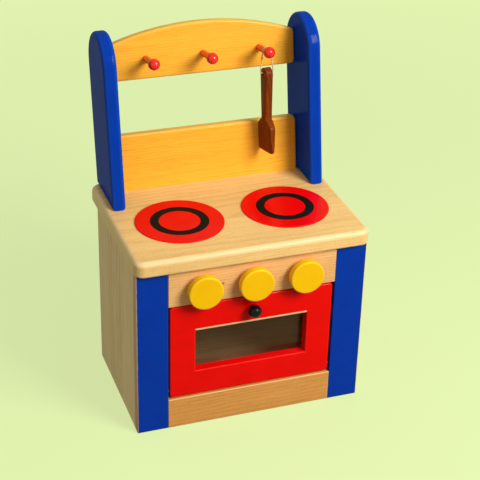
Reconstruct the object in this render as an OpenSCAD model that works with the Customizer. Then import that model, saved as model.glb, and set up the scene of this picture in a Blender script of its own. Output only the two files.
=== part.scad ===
// Wooden toy cooker: a boxed oven with a drop-down door under a thick worktop with two
// burners, and a leaning back unit whose peg rail carries a spatula on a string loop.
// X runs to the right as seen from the front, Y to the back and Z up, in millimetres.
// The origin is under the middle of the whole cooker, on the surface it stands on.

/* [Worktop] */
// Width of the worktop, side to side
top_w = 240; // [220:1:280]
// Depth of the worktop, front to back
top_d = 178; // [165:1:200]
// Thickness of the worktop
top_t = 16; // [12:0.5:22]
// Height of the worktop's upper face above the floor
top_h = 198; // [185:1:240]
// Radius of the worktop's corners, seen from above
top_corner_r = 10; // [4:0.5:16]
// Radius that rounds the worktop's upper edges
top_edge_r = 5; // [2:0.5:6]
// Radius that rounds the worktop's lower edges
top_low_r = 2; // [0.5:0.5:3]
// How far the worktop reaches past each side panel
side_overhang = 1.5; // [0.5:0.5:8]
// How far the worktop reaches past the front
front_overhang = 5.5; // [1:0.5:10]
// How far the worktop reaches past the back panel, to carry the posts
back_overhang = 24; // [10:1:30]

/* [Carcass] */
// Thickness of the side panels
side_t = 10; // [8:0.5:14]
// Thickness of the plywood back panel
back_t = 5; // [3:0.5:8]
// Thickness of the oven floor
floor_t = 8; // [6:0.5:12]
// Width of the blue front stiles
stile_w = 32; // [26:1:40]
// Thickness of the front boards: the stiles, the kickboard and the control panel
front_t = 10; // [8:0.5:12]
// Height of the kickboard, and of the oven floor above the ground
kick_h = 34; // [24:1:40]
// Radius that eases the edges of the carcass boards
ease_r = 1; // [0.5:0.25:1.5]
// Height of the rail that the closed door rests against
stop_h = 14; // [11:1:20]
// Depth of the rail that the closed door rests against
stop_d = 12; // [8:1:16]

/* [Door] */
// Height of the door
door_h = 105; // [95:1:112]
// Thickness of the door
door_t = 12; // [10:0.5:14]
// Open seam round the door
seam = 1.5; // [1.25:0.25:3]
// How far the door's face lies behind the stiles
door_recess = 1; // [0.5:0.25:2]
// Radius that rounds the door's front edges
door_edge_r = 2; // [1.5:0.25:3]
// Radius of the door's corners, seen from the front
door_corner_r = 4; // [3.5:0.25:6]
// Width of the window
window_w = 117; // [80:1:130]
// Height of the window
window_h = 49; // [36:1:52]
// Thickness of the clear pane
pane_t = 2; // [1.5:0.25:3]
// Width of the ledge that the pane lies on
ledge_w = 5; // [3:0.5:7]
// Thickness of the plain wooden bead along the top of the window
bead_h = 2; // [1.5:0.25:4]
// Diameter of the steel hinge pins
pin_d = 3; // [2:0.25:4]
// Height of the hinge pins above the door's lower edge
pin_rise = 6.5; // [6:0.25:9]
// Depth of the hinge pins behind the door's face
pin_depth = 5; // [4:0.25:6]
// How far each hinge pin reaches into the door
pin_reach = 12; // [8:1:16]
// Diameter of the ball that the door is pulled by
pull_d = 13; // [10:0.5:15]
// Diameter of the door catch's magnet and plate
catch_d = 6; // [5:0.5:8]

/* [Control knobs] */
// Diameter of the control knobs
knob_d = 35; // [28:0.5:36]
// Thickness of a knob's disc
knob_t = 8.5; // [6:0.5:12]
// Radius that rounds a knob's rims
knob_edge_r = 1.6; // [0.5:0.1:2.5]
// Gap between a stile and the rim of the nearest knob
knob_margin = 17; // [13:0.5:24]
// Height of the knobs' axes above the control panel's lower edge
knob_rise = 17; // [16:0.5:20]
// Length of the boss behind each knob
boss_t = 3.6; // [2:0.2:6]
// Diameter of the boss behind each knob
boss_d = 18; // [14:0.5:22]
// Diameter of the wooden axles that the knobs turn on
axle_d = 8; // [6:0.5:9]

/* [Burners] */
// Diameter of the burner discs
burner_d = 89; // [70:1:98]
// Gap between the worktop's side edge and the rim of the nearest burner
burner_margin = 20; // [14:0.5:24]
// Distance of the burners' centres behind the worktop's front edge
burner_y = 71; // [60:1:76]
// Thickness of a burner disc
burner_t = 3.2; // [2.4:0.1:4]
// How far a burner disc stands above the worktop
burner_proud = 1.2; // [0.4:0.1:2]
// Outer diameter of the black ring
ring_d = 59; // [45:1:62]
// Width of the black ring
ring_w = 9; // [5:0.5:12]
// Thickness of the black ring
ring_t = 1; // [0.5:0.1:1.5]

/* [Back unit] */
// How far the back unit leans back from upright, in degrees
lean = 9.8; // [4:0.1:12]
// How far the posts' inner faces stand inside the oven's inner walls
post_reach = 9.5; // [8:0.5:14]
// Thickness of the posts
post_t = 14; // [12:0.5:18]
// Depth of the posts, front to back
post_d = 66; // [58:1:70]
// Length of the posts along their slope
post_len = 169.5; // [160:0.5:190]
// Radius that rounds the posts' edges
post_edge_r = 4; // [1:0.5:4.5]
// How far the posts stand in from the worktop's back edge
post_inset = 1.3; // [0.5:0.1:4]
// Thickness of the peg rail and the splashback
board_t = 12; // [11:0.5:15]
// Distance from the posts' front edges to the face of the rail and the splashback
board_setback = 39; // [34:1:42]
// Height of the splashback
splash_h = 60; // [45:1:66]
// Distance from the worktop to the peg rail, up the slope
rail_low = 115.7; // [108:0.1:118]
// Height of the peg rail at its ends
rail_end_h = 36; // [32:1:38]
// Height of the peg rail at its middle
rail_mid_h = 53; // [45:1:56]
// Radius of the corners of the peg rail and the splashback
board_corner_r = 5; // [2:0.5:7]
// Radius that rounds the edges of the peg rail and the splashback
board_edge_r = 2.5; // [1:0.25:4]

/* [Pegs] */
// Distance from a post's inner face to the nearest peg's axis
peg_margin = 39; // [34:1:48]
// Height of the pegs above the peg rail's lower edge
peg_rise = 20.5; // [16:0.5:24]
// Diameter of the pegs' stems
peg_d = 7; // [5.5:0.25:8]
// Distance from the rail's face to the middle of a peg's ball
peg_reach = 30; // [28:0.5:34]
// Diameter of the balls on the pegs
ball_d = 12; // [10:0.5:13]

/* [Spatula] */
// Length of the spatula
spatula_len = 90; // [75:1:96]
// Length of the spatula's blade, from its shoulders to its tip
blade_len = 36; // [28:1:42]
// Width of the blade
blade_w = 27; // [20:0.5:28]
// Thickness of the spatula's handle
spatula_t = 8; // [6.5:0.25:9]
// Thickness of the blade at its tip
tip_t = 4; // [3:0.1:5]
// Diameter of the handle's round end
handle_end_d = 13; // [10:0.5:15]
// Width of the handle where it meets the blade
neck_w = 9; // [7:0.5:10]
// How far the spatula is turned on its string, in degrees
twist = 80; // [70:1:90]
// Diameter of the string
string_d = 1.2; // [0.8:0.1:1.4]
// Diameter of the string's hole in the handle
string_hole_d = 3.4; // [3:0.1:4]
// Distance from the peg down to the string's hole
string_drop = 23.5; // [20:0.5:26]

/* [Hidden] */
$fn = 48;

// Finishes
beech = "#E8C996";
plywood = "#D9B983";
blue = "#0A2F8F";
red = "#DD1010";
yellow = "#FFC61E";
amber = "#FBB033";
black = "#141414";
steel = "#B9BCC0";
brown = "#7A4420";
clear = [0.80, 0.86, 0.88, 0.35];

// Small clearances, and the steps of a rounded edge
edge_steps = 3;
running = 0.075;
slack = 0.4;
stop_gap = 0.3;
glue = 0.05;
through = 1;
rim = 1;

// Joining dowels and screws
dowel_d = 6;
dowel_len = 20;
dowel_in_post = 8;
dowel_in_side = 6;
dowel_inset = 30;
end_gap = 0.5;
post_screw_d = 4;
post_screw_grip = 22;
post_screw_head_d = 7.5;
post_screw_pitch = 36;
pane_screw_d = 1.8;
pane_screw_head_d = 5;
pane_screw_head_t = 1.5;
pane_screw_len = 6;
pull_screw_d = 3;
pull_screw_head_d = 6;
pull_screw_in = pull_d * 0.6;

// Door catch and hinge
pin_hold = stile_w / 2;
catch_depth = 4;
plate_t = 1;

// Front to back: the whole cooker is centred on Y = 0
post_r = post_d / 2;
pull_reach = pull_d * 0.5 + 1;
knob_stand = slack + boss_t + knob_t;
front_reach = max(knob_stand - front_overhang,
                  pull_reach + pull_d / 2 - door_recess - front_overhang, 0);
post_foot = top_d - post_inset - post_r / cos(lean);
back_reach = max(top_d, post_foot + (post_len - post_r) * sin(lean) + post_r);
edge_y = -(back_reach - front_reach) / 2;
front_y = edge_y + front_overhang;
back_y = edge_y + top_d - back_overhang;
post_y = edge_y + post_foot;

// Carcass
body_w = top_w - 2 * side_overhang;
under_h = top_h - top_t;
opening_w = body_w - 2 * stile_w;
inner_w = body_w - 2 * side_t;
panel_low = kick_h + 2 * seam + door_h;
worktop_dowel_y = [front_y + front_t + dowel_inset,
                   post_y - post_screw_pitch / 2 - (post_screw_head_d + dowel_d) / 2 - 2 * rim];
floor_dowel_y = [front_y + front_t + dowel_inset, back_y - back_t - dowel_inset];
burner_pitch = top_w - 2 * burner_margin - burner_d;

// Door
door_w = opening_w - 2 * seam;
door_low = kick_h + seam;
door_top = door_low + door_h;
door_y = front_y + door_recess;
door_back = door_y + door_t;
window_low = door_low + (door_h - window_h) / 2;
pin_y = door_y + pin_depth;
pin_z = door_low + pin_rise;
catch_z = door_top - ease_r - rim - catch_d / 2;
pull_z = (window_low + window_h + door_top) / 2 + 0.5;
stop_low = catch_z - catch_d / 2 - rim - ease_r;
pane_gap = 0.2;

// Control knobs
knob_z = panel_low + knob_rise;
knob_pitch = opening_w / 2 - knob_margin - knob_d / 2;
collar_d = axle_d + 7;
collar_t = 4;
axle_in_knob = knob_t * 0.5 + boss_t;
axle_len = axle_in_knob + 2 * slack + front_t + collar_t;

// Back unit, in its own leaning frame: Y from the posts' middle, Z up the slope
board_w = inner_w - 2 * post_reach;
peg_pitch = board_w / 2 - peg_margin;
post_screw_x = inner_w / 2 - post_screw_head_d / 2 - rim;
board_y = board_setback - post_r;
rail_bow = rail_mid_h - rail_end_h;
rail_arc_r = (board_w * board_w / 4 + rail_bow * rail_bow) / (2 * rail_bow);
peg_z = rail_low + peg_rise;
peg_root = board_t * 0.75;
rail_dowel_z = [rail_low + rail_end_h * 0.27, rail_low + rail_end_h * 0.73];
post_screw_top = post_screw_grip * cos(lean) + post_screw_pitch / 2 * sin(lean);
splash_dowel_z = [post_screw_top + dowel_d / 2 + 2 * rim, splash_h * 0.8];

// The hung spatula, in a frame that hangs from its peg
string_back = ball_d / 2 + string_d / 2 + 0.4;
string_off = peg_reach - string_back;
hang_reach = string_drop + spatula_len - handle_end_d / 2;
rest_gap = 1;
hang_slope = asin((string_off - blade_w / 2 - rest_gap) / hang_reach);
hang_tilt = max(0, lean - hang_slope);
blade_corner_r = 3;
string_r = string_d / 2;
loop_top_r = peg_d / 2 + string_r + 0.3;
hole_rise = string_hole_d / 2 - string_r - 0.1;
string_bend = 2.2 * string_d;
loop_low = -string_drop + hole_rise;
loop_half = spatula_t / 2 + string_bend + 0.2;
string_sides = 8;

// Points along an arc about [x, y]
function arc(x, y, r, from, to, steps = 8) =
    [for (i = [0 : steps]) let (a = from + (to - from) * i / steps)
        [x + r * cos(a), y + r * sin(a)]];

// A list of points without its first and last one
function between(points) = [for (i = [1 : len(points) - 2]) points[i]];

// A rectangle about X = 0 from low to high, inset all round, with its corners rounded
function panel(w, low, high, r, inset) =
    let (half = w / 2 - r, a = low + r, b = high - r, e = r - inset)
        concat(arc(half, a, e, -90, 0, 6), arc(half, b, e, 0, 90, 6),
               arc(-half, b, e, 90, 180, 6), arc(-half, a, e, 180, 270, 6));

// A rectangle with sharp corners, inset all round
function plain(left, right, low, high, inset) =
    [[left + inset, low + inset], [right - inset, low + inset],
     [right - inset, high - inset], [left + inset, high - inset]];

// A flat board from Z = 0 to t, rounded along the edges of both faces. outline is a
// function that gives the convex outline at an inset.
module eased(t, upper_r, lower_r, outline) {
    hull() {
        translate([0, 0, lower_r]) linear_extrude(t - lower_r - upper_r) polygon(outline(0));
        for (i = [1 : edge_steps]) {
            rise = 1 - sin(90 * i / edge_steps);
            inset = 1 - cos(90 * i / edge_steps);
            if (lower_r > 0)
                translate([0, 0, lower_r * rise])
                    linear_extrude(t / 2 - lower_r * rise) polygon(outline(lower_r * inset));
            if (upper_r > 0)
                translate([0, 0, t / 2])
                    linear_extrude(t / 2 - upper_r * rise) polygon(outline(upper_r * inset));
        }
    }
}

// A board that faces the front: its outline stands in XZ and its face is at y
module front_board(y, t, face_r, back_r, outline) {
    translate([0, y + t, 0]) rotate([90, 0, 0]) eased(t, face_r, back_r, outline);
}

// A board that faces sideways: its outline stands in YZ and it runs from x to x + t
module side_board(x, t, r, outline) {
    translate([x, 0, 0]) rotate([90, 0, 90]) eased(t, r, r, outline);
}

// A rod along X from x to x + len
module rod_x(x, y, z, d, len) {
    translate([x, y, z]) rotate([0, 90, 0]) cylinder(d = d, h = len);
}

// A rod along Y from y to y + len
module rod_y(x, y, z, d, len) {
    translate([x, y, z]) rotate([-90, 0, 0]) cylinder(d = d, h = len);
}

// What is turned about an axis that points to the front, with its foot at y
module turned_front(x, y, z) {
    translate([x, y, z]) rotate([90, 0, 0]) rotate_extrude() children();
}

// The leaning frame of the back unit
module leaning() {
    translate([0, post_y, top_h]) rotate([-lean, 0, 0]) children();
}

// The frame that hangs from the right peg, at the string
module hanging() {
    leaning()
        translate([peg_pitch, board_y - string_off, peg_z])
            rotate([lean - hang_tilt, 0, 0]) children();
}

// Both sides alike: the right one is drawn and the left one is its mirror image
module mirrored(side) {
    if (side < 0) mirror([1, 0, 0]) children();
    else children();
}

// ---- Worktop and burners ----

module worktop() {
    color(beech) difference() {
        translate([0, 0, under_h])
            eased(top_t, top_edge_r, top_low_r,
                  function (inset) panel(top_w, edge_y, edge_y + top_d, top_corner_r, inset));
        for (side = [-1, 1])
            translate([side * burner_pitch / 2, edge_y + burner_y, top_h + burner_proud - burner_t])
                cylinder(d = burner_d + 2 * glue, h = burner_t);
        post_screw_places() {
            translate([0, 0, -through])
                cylinder(d = post_screw_d + 2 * running, h = top_t + 2 * through);
            post_screw_head(through);
        }
        worktop_dowel_places()
            translate([0, 0, -end_gap - dowel_len / 2])
                cylinder(d = dowel_d + 2 * glue, h = dowel_len + 2 * end_gap);
    }
}

module burner(side) {
    h = burner_t;
    r = burner_d / 2;
    lip = burner_proud * 0.6;
    color(red)
        translate([side * burner_pitch / 2, edge_y + burner_y, top_h + burner_proud - h])
            difference() {
                rotate_extrude()
                    polygon(concat([[0, 0], [r, 0]], arc(r - lip, h - lip, lip, 0, 90), [[0, h]]));
                translate([0, 0, h - ring_t]) difference() {
                    cylinder(d = ring_d, h = ring_t + through);
                    cylinder(d = ring_d - 2 * ring_w, h = ring_t + through);
                }
            }
}

module burner_ring(side) {
    color(black)
        translate([side * burner_pitch / 2, edge_y + burner_y, top_h + burner_proud - ring_t])
            difference() {
                cylinder(d = ring_d, h = ring_t);
                translate([0, 0, -through])
                    cylinder(d = ring_d - 2 * ring_w, h = ring_t + 2 * through);
            }
}

// ---- Carcass ----

module side_panel(side) {
    color(beech) mirrored(side) difference() {
        side_board(body_w / 2 - side_t, side_t, ease_r,
                   function (inset) plain(front_y + front_t, back_y, 0, under_h, inset));
        worktop_dowel_places()
            translate([0, 0, -end_gap - dowel_len / 2])
                cylinder(d = dowel_d + 2 * glue, h = dowel_len);
        floor_dowel_places()
            rod_x(-through, 0, 0, dowel_d + 2 * glue, dowel_in_side + end_gap + through);
    }
}

module back_panel() {
    color(plywood)
        translate([-inner_w / 2, back_y - back_t, 0]) cube([inner_w, back_t, under_h]);
}

// The floor's front edge slopes away under the closed door
module floor_board() {
    y = front_y + front_t;
    back = back_y - back_t;
    slope = door_back + rim - y;
    low = kick_h - floor_t;
    color(beech) difference() {
        translate([-inner_w / 2, 0, 0]) rotate([90, 0, 90]) linear_extrude(inner_w)
            polygon([[y, low], [back, low], [back, kick_h], [y + slope, kick_h],
                     [y, kick_h - slope]]);
        for (side = [-1, 1])
            mirrored(side) floor_dowel_places()
                rod_x(-dowel_len + dowel_in_side - end_gap, 0, 0, dowel_d + 2 * glue, dowel_len);
    }
}

module kickboard() {
    color(beech)
        front_board(front_y, front_t, ease_r, 0,
                    function (inset) plain(-opening_w / 2, opening_w / 2, 0, kick_h, inset));
}

module stile(side) {
    color(blue) mirrored(side) difference() {
        front_board(front_y, front_t, ease_r, 0,
                    function (inset) plain(opening_w / 2, body_w / 2, 0, under_h, inset));
        rod_x(opening_w / 2 - through, pin_y, pin_z, pin_d, pin_hold + through);
    }
}

module control_panel() {
    color(beech) difference() {
        front_board(front_y, front_t, ease_r, 0,
                    function (inset) plain(-opening_w / 2, opening_w / 2, panel_low, under_h, inset));
        for (place = [-1 : 1])
            rod_y(place * knob_pitch, front_y - through, knob_z, axle_d + 2 * running,
                  front_t + 2 * through);
    }
}

module door_stop() {
    color(beech) difference() {
        front_board(door_back + stop_gap, stop_d, ease_r, ease_r, function (inset)
                    plain(-inner_w / 2, inner_w / 2, stop_low, stop_low + stop_h, inset));
        rod_y(0, door_back + stop_gap - through, catch_z, catch_d, catch_depth + through);
    }
}

module catch_magnet() {
    color(steel) rod_y(0, door_back + stop_gap, catch_z, catch_d, catch_depth);
}

// ---- Door ----

module door_panel() {
    color(red) difference() {
        front_board(door_y, door_t, door_edge_r, ease_r,
                    function (inset) panel(door_w, door_low, door_top, door_corner_r, inset));
        translate([-window_w / 2, door_y - through, window_low])
            cube([window_w, door_t + 2 * through, window_h]);
        translate([-window_w / 2 - ledge_w, door_back - pane_t, window_low - ledge_w])
            cube([window_w + 2 * ledge_w, pane_t + through, window_h + 2 * ledge_w]);
        for (side = [-1, 1])
            mirrored(side)
                rod_x(door_w / 2 - pin_reach - end_gap, pin_y, pin_z, pin_d + 2 * running,
                      pin_reach + end_gap + through);
        rod_y(0, door_back - plate_t, catch_z, catch_d, plate_t + through);
        rod_y(0, door_y - through, pull_z, pull_screw_d, door_t + 2 * through);
        pull_screw_head();
        pane_screw_places() rod_y(0, -pane_screw_len, 0, pane_screw_d, pane_screw_len + through);
    }
}

module door_pane() {
    color(clear)
        translate([-window_w / 2 - ledge_w + pane_gap, door_back - pane_t,
                   window_low - ledge_w + pane_gap])
            cube([window_w + 2 * (ledge_w - pane_gap), pane_t, window_h + 2 * (ledge_w - pane_gap)]);
}

module window_bead() {
    color(beech)
        translate([-window_w / 2, door_y + 0.5, window_low + window_h - bead_h])
            cube([window_w, door_t - pane_t - 0.5, bead_h]);
}

// The four places round the pane, on the door's back face
module pane_screw_places() {
    for (x = [-1, 1], z = [-1, 1])
        translate([x * (window_w / 2 + ledge_w + pane_screw_d / 2 + pane_gap), door_back,
                   window_low + window_h / 2 + z * window_h * 0.35])
            children();
}

module pane_screws() {
    color(steel) pane_screw_places() union() {
        rod_y(0, -pane_screw_len, 0, pane_screw_d, pane_screw_len);
        rod_y(0, 0, 0, pane_screw_head_d, pane_screw_head_t);
    }
}

module door_knob() {
    r = pull_d / 2;
    neck = r * 0.55;
    waist = asin(neck / r);
    color(black) difference() {
        turned_front(0, door_y, pull_z)
            polygon(concat([[0, 0], [neck, 0]],
                           arc(0, pull_reach, r, waist - 90, 90, 24)));
        rod_y(0, door_y - pull_screw_in, pull_z, pull_screw_d, pull_screw_in + through);
    }
}

// The countersunk head of the pull's screw, flush with the door's back
module pull_screw_head() {
    translate([0, door_back, pull_z]) rotate([90, 0, 0])
        cylinder(d1 = pull_screw_head_d, d2 = pull_screw_d, h = (pull_screw_head_d - pull_screw_d) / 2);
}

module door_knob_screw() {
    color(steel) union() {
        rod_y(0, door_y - pull_screw_in, pull_z, pull_screw_d, pull_screw_in + door_t);
        pull_screw_head();
    }
}

module catch_plate() {
    color(steel) rod_y(0, door_back - plate_t, catch_z, catch_d, plate_t);
}

module hinge_pin(side) {
    color(steel) mirrored(side)
        rod_x(door_w / 2 - pin_reach, pin_y, pin_z, pin_d, pin_reach + seam + pin_hold);
}

// ---- Control knobs ----

module knob(place) {
    r = knob_d / 2;
    e = knob_edge_r;
    h = boss_t + knob_t;
    color(yellow) difference() {
        turned_front(place * knob_pitch, front_y - slack, knob_z)
            polygon(concat([[0, 0], [boss_d / 2, 0], [boss_d / 2, boss_t]],
                           arc(r - e, boss_t + e, e, -90, 0), arc(r - e, h - e, e, 0, 90),
                           [[0, h]]));
        rod_y(place * knob_pitch, front_y - slack - axle_in_knob, knob_z, axle_d,
              axle_in_knob + through);
    }
}

module knob_axle(place) {
    color(beech)
        rod_y(place * knob_pitch, front_y - slack - axle_in_knob, knob_z, axle_d, axle_len);
}

module knob_collar(place) {
    y = front_y + front_t + slack;
    color(beech) difference() {
        rod_y(place * knob_pitch, y, knob_z, collar_d, collar_t);
        rod_y(place * knob_pitch, y - through, knob_z, axle_d, collar_t + 2 * through);
    }
}

// ---- Back unit ----

// A post's outline in the leaning frame: it stands flat on the worktop and has a round top
function post_outline(inset) =
    let (r = post_r - inset, foot = post_r * tan(lean))
        concat([[-r, inset - foot], [r, inset + foot]],
               arc(0, post_len - post_r, r, 0, 180, 18));

module post(side) {
    color(blue) mirrored(side) difference() {
        leaning() side_board(board_w / 2, post_t, post_edge_r,
                             function (inset) post_outline(inset));
        post_screw_places(1)
            cylinder(d = post_screw_d + 2 * glue, h = top_t + post_screw_grip + end_gap);
        board_dowel_places()
            rod_x(-through, 0, 0, dowel_d + 2 * glue, dowel_in_post + end_gap + through);
    }
}

// The rail's outline: flat below, bowed above, with rounded corners
function rail_outline(inset) =
    let (half = board_w / 2 - board_corner_r, r = board_corner_r - inset,
         crown = rail_low + rail_mid_h - rail_arc_r, reach = rail_arc_r - board_corner_r,
         high = crown + sqrt(reach * reach - half * half), swing = asin(half / reach))
        concat(arc(-half, rail_low + board_corner_r, r, 180, 270, 3),
               arc(half, rail_low + board_corner_r, r, 270, 360, 3),
               arc(half, high, r, 0, 90 - swing, 3),
               between(arc(0, crown, rail_arc_r - inset, 90 - swing, 90 + swing, 16)),
               arc(-half, high, r, 90 + swing, 180, 3));

module peg_rail() {
    color(amber) difference() {
        leaning() front_board(board_y, board_t, board_edge_r, board_edge_r,
                              function (inset) rail_outline(inset));
        leaning()
            for (place = [-1 : 1])
                rod_y(place * peg_pitch, board_y - through, peg_z, peg_d + 2 * glue,
                      peg_root + through);
        for (side = [-1, 1])
            mirrored(side) board_dowel_places(rail_dowel_z)
                rod_x(dowel_in_post - dowel_len - end_gap, 0, 0, dowel_d + 2 * glue, dowel_len);
    }
}

module splashback() {
    color(amber) difference() {
        leaning() front_board(board_y, board_t, board_edge_r, board_edge_r, function (inset)
                              panel(board_w, -post_r, splash_h, board_corner_r, inset));
        translate([-top_w / 2, edge_y, top_h - 2 * post_r]) cube([top_w, 2 * top_d, 2 * post_r]);
        for (side = [-1, 1])
            mirrored(side) board_dowel_places(splash_dowel_z)
                rod_x(dowel_in_post - dowel_len - end_gap, 0, 0, dowel_d + 2 * glue, dowel_len);
    }
}

module peg(place) {
    r = ball_d / 2;
    stem = peg_d / 2;
    waist = asin(stem / r);
    color(red) leaning()
        turned_front(place * peg_pitch, board_y + peg_root, peg_z)
            polygon(concat([[0, 0], [stem, 0]],
                           arc(0, peg_root + peg_reach, r, waist - 90, 90, 24)));
}

// ---- Dowels and screws ----

// On the right post's inner face, where the dowels of the boards enter it
module board_dowel_places(heights = concat(rail_dowel_z, splash_dowel_z)) {
    leaning()
        for (z = heights) translate([board_w / 2, board_y + board_t / 2, z]) children();
}

module board_dowels(heights) {
    color(beech)
        for (side = [-1, 1])
            mirrored(side) board_dowel_places(heights)
                rod_x(dowel_in_post - dowel_len, 0, 0, dowel_d, dowel_len);
}

// On the underside of the worktop, where the side panels' dowels enter it
module worktop_dowel_places() {
    for (side = [-1, 1], y = worktop_dowel_y)
        translate([side * (body_w - side_t) / 2, y, under_h]) children();
}

module worktop_dowels() {
    color(beech) worktop_dowel_places()
        translate([0, 0, -dowel_len / 2]) cylinder(d = dowel_d, h = dowel_len);
}

// On the right side panel's inner face, at the oven floor
module floor_dowel_places() {
    for (y = floor_dowel_y)
        translate([inner_w / 2, y, kick_h - floor_t / 2]) children();
}

module floor_dowels() {
    color(beech)
        for (side = [-1, 1])
            mirrored(side) floor_dowel_places()
                rod_x(dowel_in_side - dowel_len, 0, 0, dowel_d, dowel_len);
}

// On the underside of the worktop, below the posts
module post_screw_places(only = 0) {
    for (side = only == 0 ? [-1, 1] : [only], y = [-1, 1])
        translate([side * post_screw_x, post_y + y * post_screw_pitch / 2, under_h])
            children();
}

// A countersunk head, and what it needs below the face it lies in
module post_screw_head(below) {
    rise = (post_screw_head_d - post_screw_d) / 2;
    union() {
        cylinder(d1 = post_screw_head_d, d2 = post_screw_d, h = rise);
        translate([0, 0, -below]) cylinder(d = post_screw_head_d, h = below + 0.01);
    }
}

module post_screws() {
    rise = (post_screw_head_d - post_screw_d) / 2;
    color(steel) post_screw_places() union() {
        cylinder(d1 = post_screw_head_d, d2 = post_screw_d, h = rise);
        cylinder(d = post_screw_d, h = top_t + post_screw_grip);
    }
}

// ---- Spatula on its string ----

module spatula() {
    neck_z = -(spatula_len - handle_end_d / 2 - blade_len);
    tip_z = neck_z - blade_len;
    color(brown) hanging() translate([0, 0, -string_drop]) rotate([0, 0, -twist])
        difference() {
            union() {
                hull() {
                    rod_y(0, -spatula_t / 2, 0, handle_end_d, spatula_t);
                    rod_y(0, -spatula_t / 2, neck_z, neck_w, spatula_t);
                }
                hull() {
                    rod_y(0, -spatula_t / 2, neck_z, neck_w, spatula_t);
                    for (x = [-1, 1]) {
                        translate([x * (blade_w / 2 - blade_corner_r), 0, neck_z - blade_len * 0.3])
                            rod_y(0, -spatula_t * 0.35, 0, 2 * blade_corner_r, spatula_t * 0.7);
                        translate([x * (blade_w / 2 - blade_corner_r), 0, tip_z + blade_corner_r])
                            rod_y(0, -tip_t / 2, 0, 2 * blade_corner_r, tip_t);
                    }
                }
            }
            rod_y(0, -spatula_t, 0, string_hole_d, 2 * spatula_t);
        }
}

function unit(v) = v / norm(v);

// Half of the loop, from the middle of the hole round to the top of the peg, in XZ
function half_loop() = concat(
    [[0, loop_low], [spatula_t / 2 * 0.6, loop_low]],
    arc(loop_half - string_bend, loop_low + string_bend, string_bend, -90, 0, 5),
    [for (i = [1 : 5]) let (u = i / 6)
        [loop_half + (loop_top_r - loop_half) * u,
         loop_low + string_bend - (loop_low + string_bend) * u]],
    arc(0, 0, loop_top_r, 0, 90, 5));

// The whole loop, which starts and ends at the knot in its left leg
loop_right = half_loop();
loop_turns = concat(
    [for (i = [len(loop_right) - 1 : -1 : 0]) [-loop_right[i][0], loop_right[i][1]]],
    [for (i = [1 : len(loop_right) - 1]) loop_right[i]]);
loop_count = len(loop_turns);
knot_index = 7;
loop_open = [for (i = [0 : loop_count - 1]) loop_turns[(i + knot_index) % (loop_count - 1)]];
knot_at = loop_open[0];
knot_gap = string_d * 0.4;
loop_route = concat(
    [knot_at + knot_gap * unit(loop_open[1] - knot_at)],
    [for (i = [1 : loop_count - 2]) loop_open[i]],
    [knot_at + knot_gap * unit(loop_open[loop_count - 2] - knot_at)]);

function along(route, i) =
    unit(route[min(i + 1, len(route) - 1)] - route[max(i - 1, 0)]);

// A tube of one polyhedron along a route in XZ
module string_tube(route, r) {
    n = len(route);
    rings = [for (i = [0 : n - 1]) let (t = along(route, i), side = [t[1], -t[0]])
        for (k = [0 : string_sides - 1]) let (a = 360 * k / string_sides)
            [route[i][0] + r * cos(a) * side[0], r * sin(a), route[i][1] + r * cos(a) * side[1]]];
    walls = [for (i = [0 : n - 2], k = [0 : string_sides - 1])
        let (m = (k + 1) % string_sides, b = i * string_sides)
            each [[b + k, b + m, b + string_sides + k],
                  [b + m, b + string_sides + m, b + string_sides + k]]];
    first = [for (k = [string_sides - 1 : -1 : 0]) k];
    last = [for (k = [0 : string_sides - 1]) (n - 1) * string_sides + k];
    polyhedron(rings, concat([first], walls, [last]));
}

module string_loop() {
    color("white") hanging() string_tube(loop_route, string_r);
}

module string_knot() {
    color("white") hanging()
        translate([knot_at[0], 0, knot_at[1]]) sphere(d = 2.6 * string_d);
}

worktop();
side_panel(-1);  // side_panel_left
side_panel(1);  // side_panel_right
back_panel();
floor_board();
kickboard();
stile(-1);  // stile_left
stile(1);  // stile_right
control_panel();
door_stop();
catch_magnet();
catch_plate();
door_panel();
door_pane();
window_bead();
pane_screws();
door_knob();
door_knob_screw();
hinge_pin(-1);  // hinge_pin_left
hinge_pin(1);  // hinge_pin_right
knob(-1);  // knob_left
knob(0);  // knob_middle
knob(1);  // knob_right
knob_axle(-1);  // knob_axle_left
knob_axle(0);  // knob_axle_middle
knob_axle(1);  // knob_axle_right
knob_collar(-1);  // knob_collar_left
knob_collar(0);  // knob_collar_middle
knob_collar(1);  // knob_collar_right
burner(-1);  // burner_left
burner(1);  // burner_right
burner_ring(-1);  // burner_ring_left
burner_ring(1);  // burner_ring_right
post(-1);  // post_left
post(1);  // post_right
peg_rail();
splashback();
peg(-1);  // peg_left
peg(0);  // peg_middle
peg(1);  // peg_right
post_screws();
board_dowels(rail_dowel_z);  // rail_dowels
board_dowels(splash_dowel_z);  // splashback_dowels
worktop_dowels();
floor_dowels();
spatula();
string_loop();
string_knot();
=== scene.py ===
"""The looks of a wooden toy cooker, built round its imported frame.

The frame's solids hold the real sizes and places. Here each piece that shows gets a finer mesh and
the finish of a real toy: lacquered beech, gloss paint, stained boards, turned pegs and twisted
cotton. Every length is in metres, in the frame's own axes: X to the right as seen from the front, Y
to the back and Z up, with the origin under the middle of the cooker.
"""

from __future__ import annotations

import logging
import math
from abc import ABC, abstractmethod
from dataclasses import dataclass, field, replace
from enum import Enum
from typing import Callable, Sequence, Union

import bmesh
import bpy
from mathutils import Matrix, Vector

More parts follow.
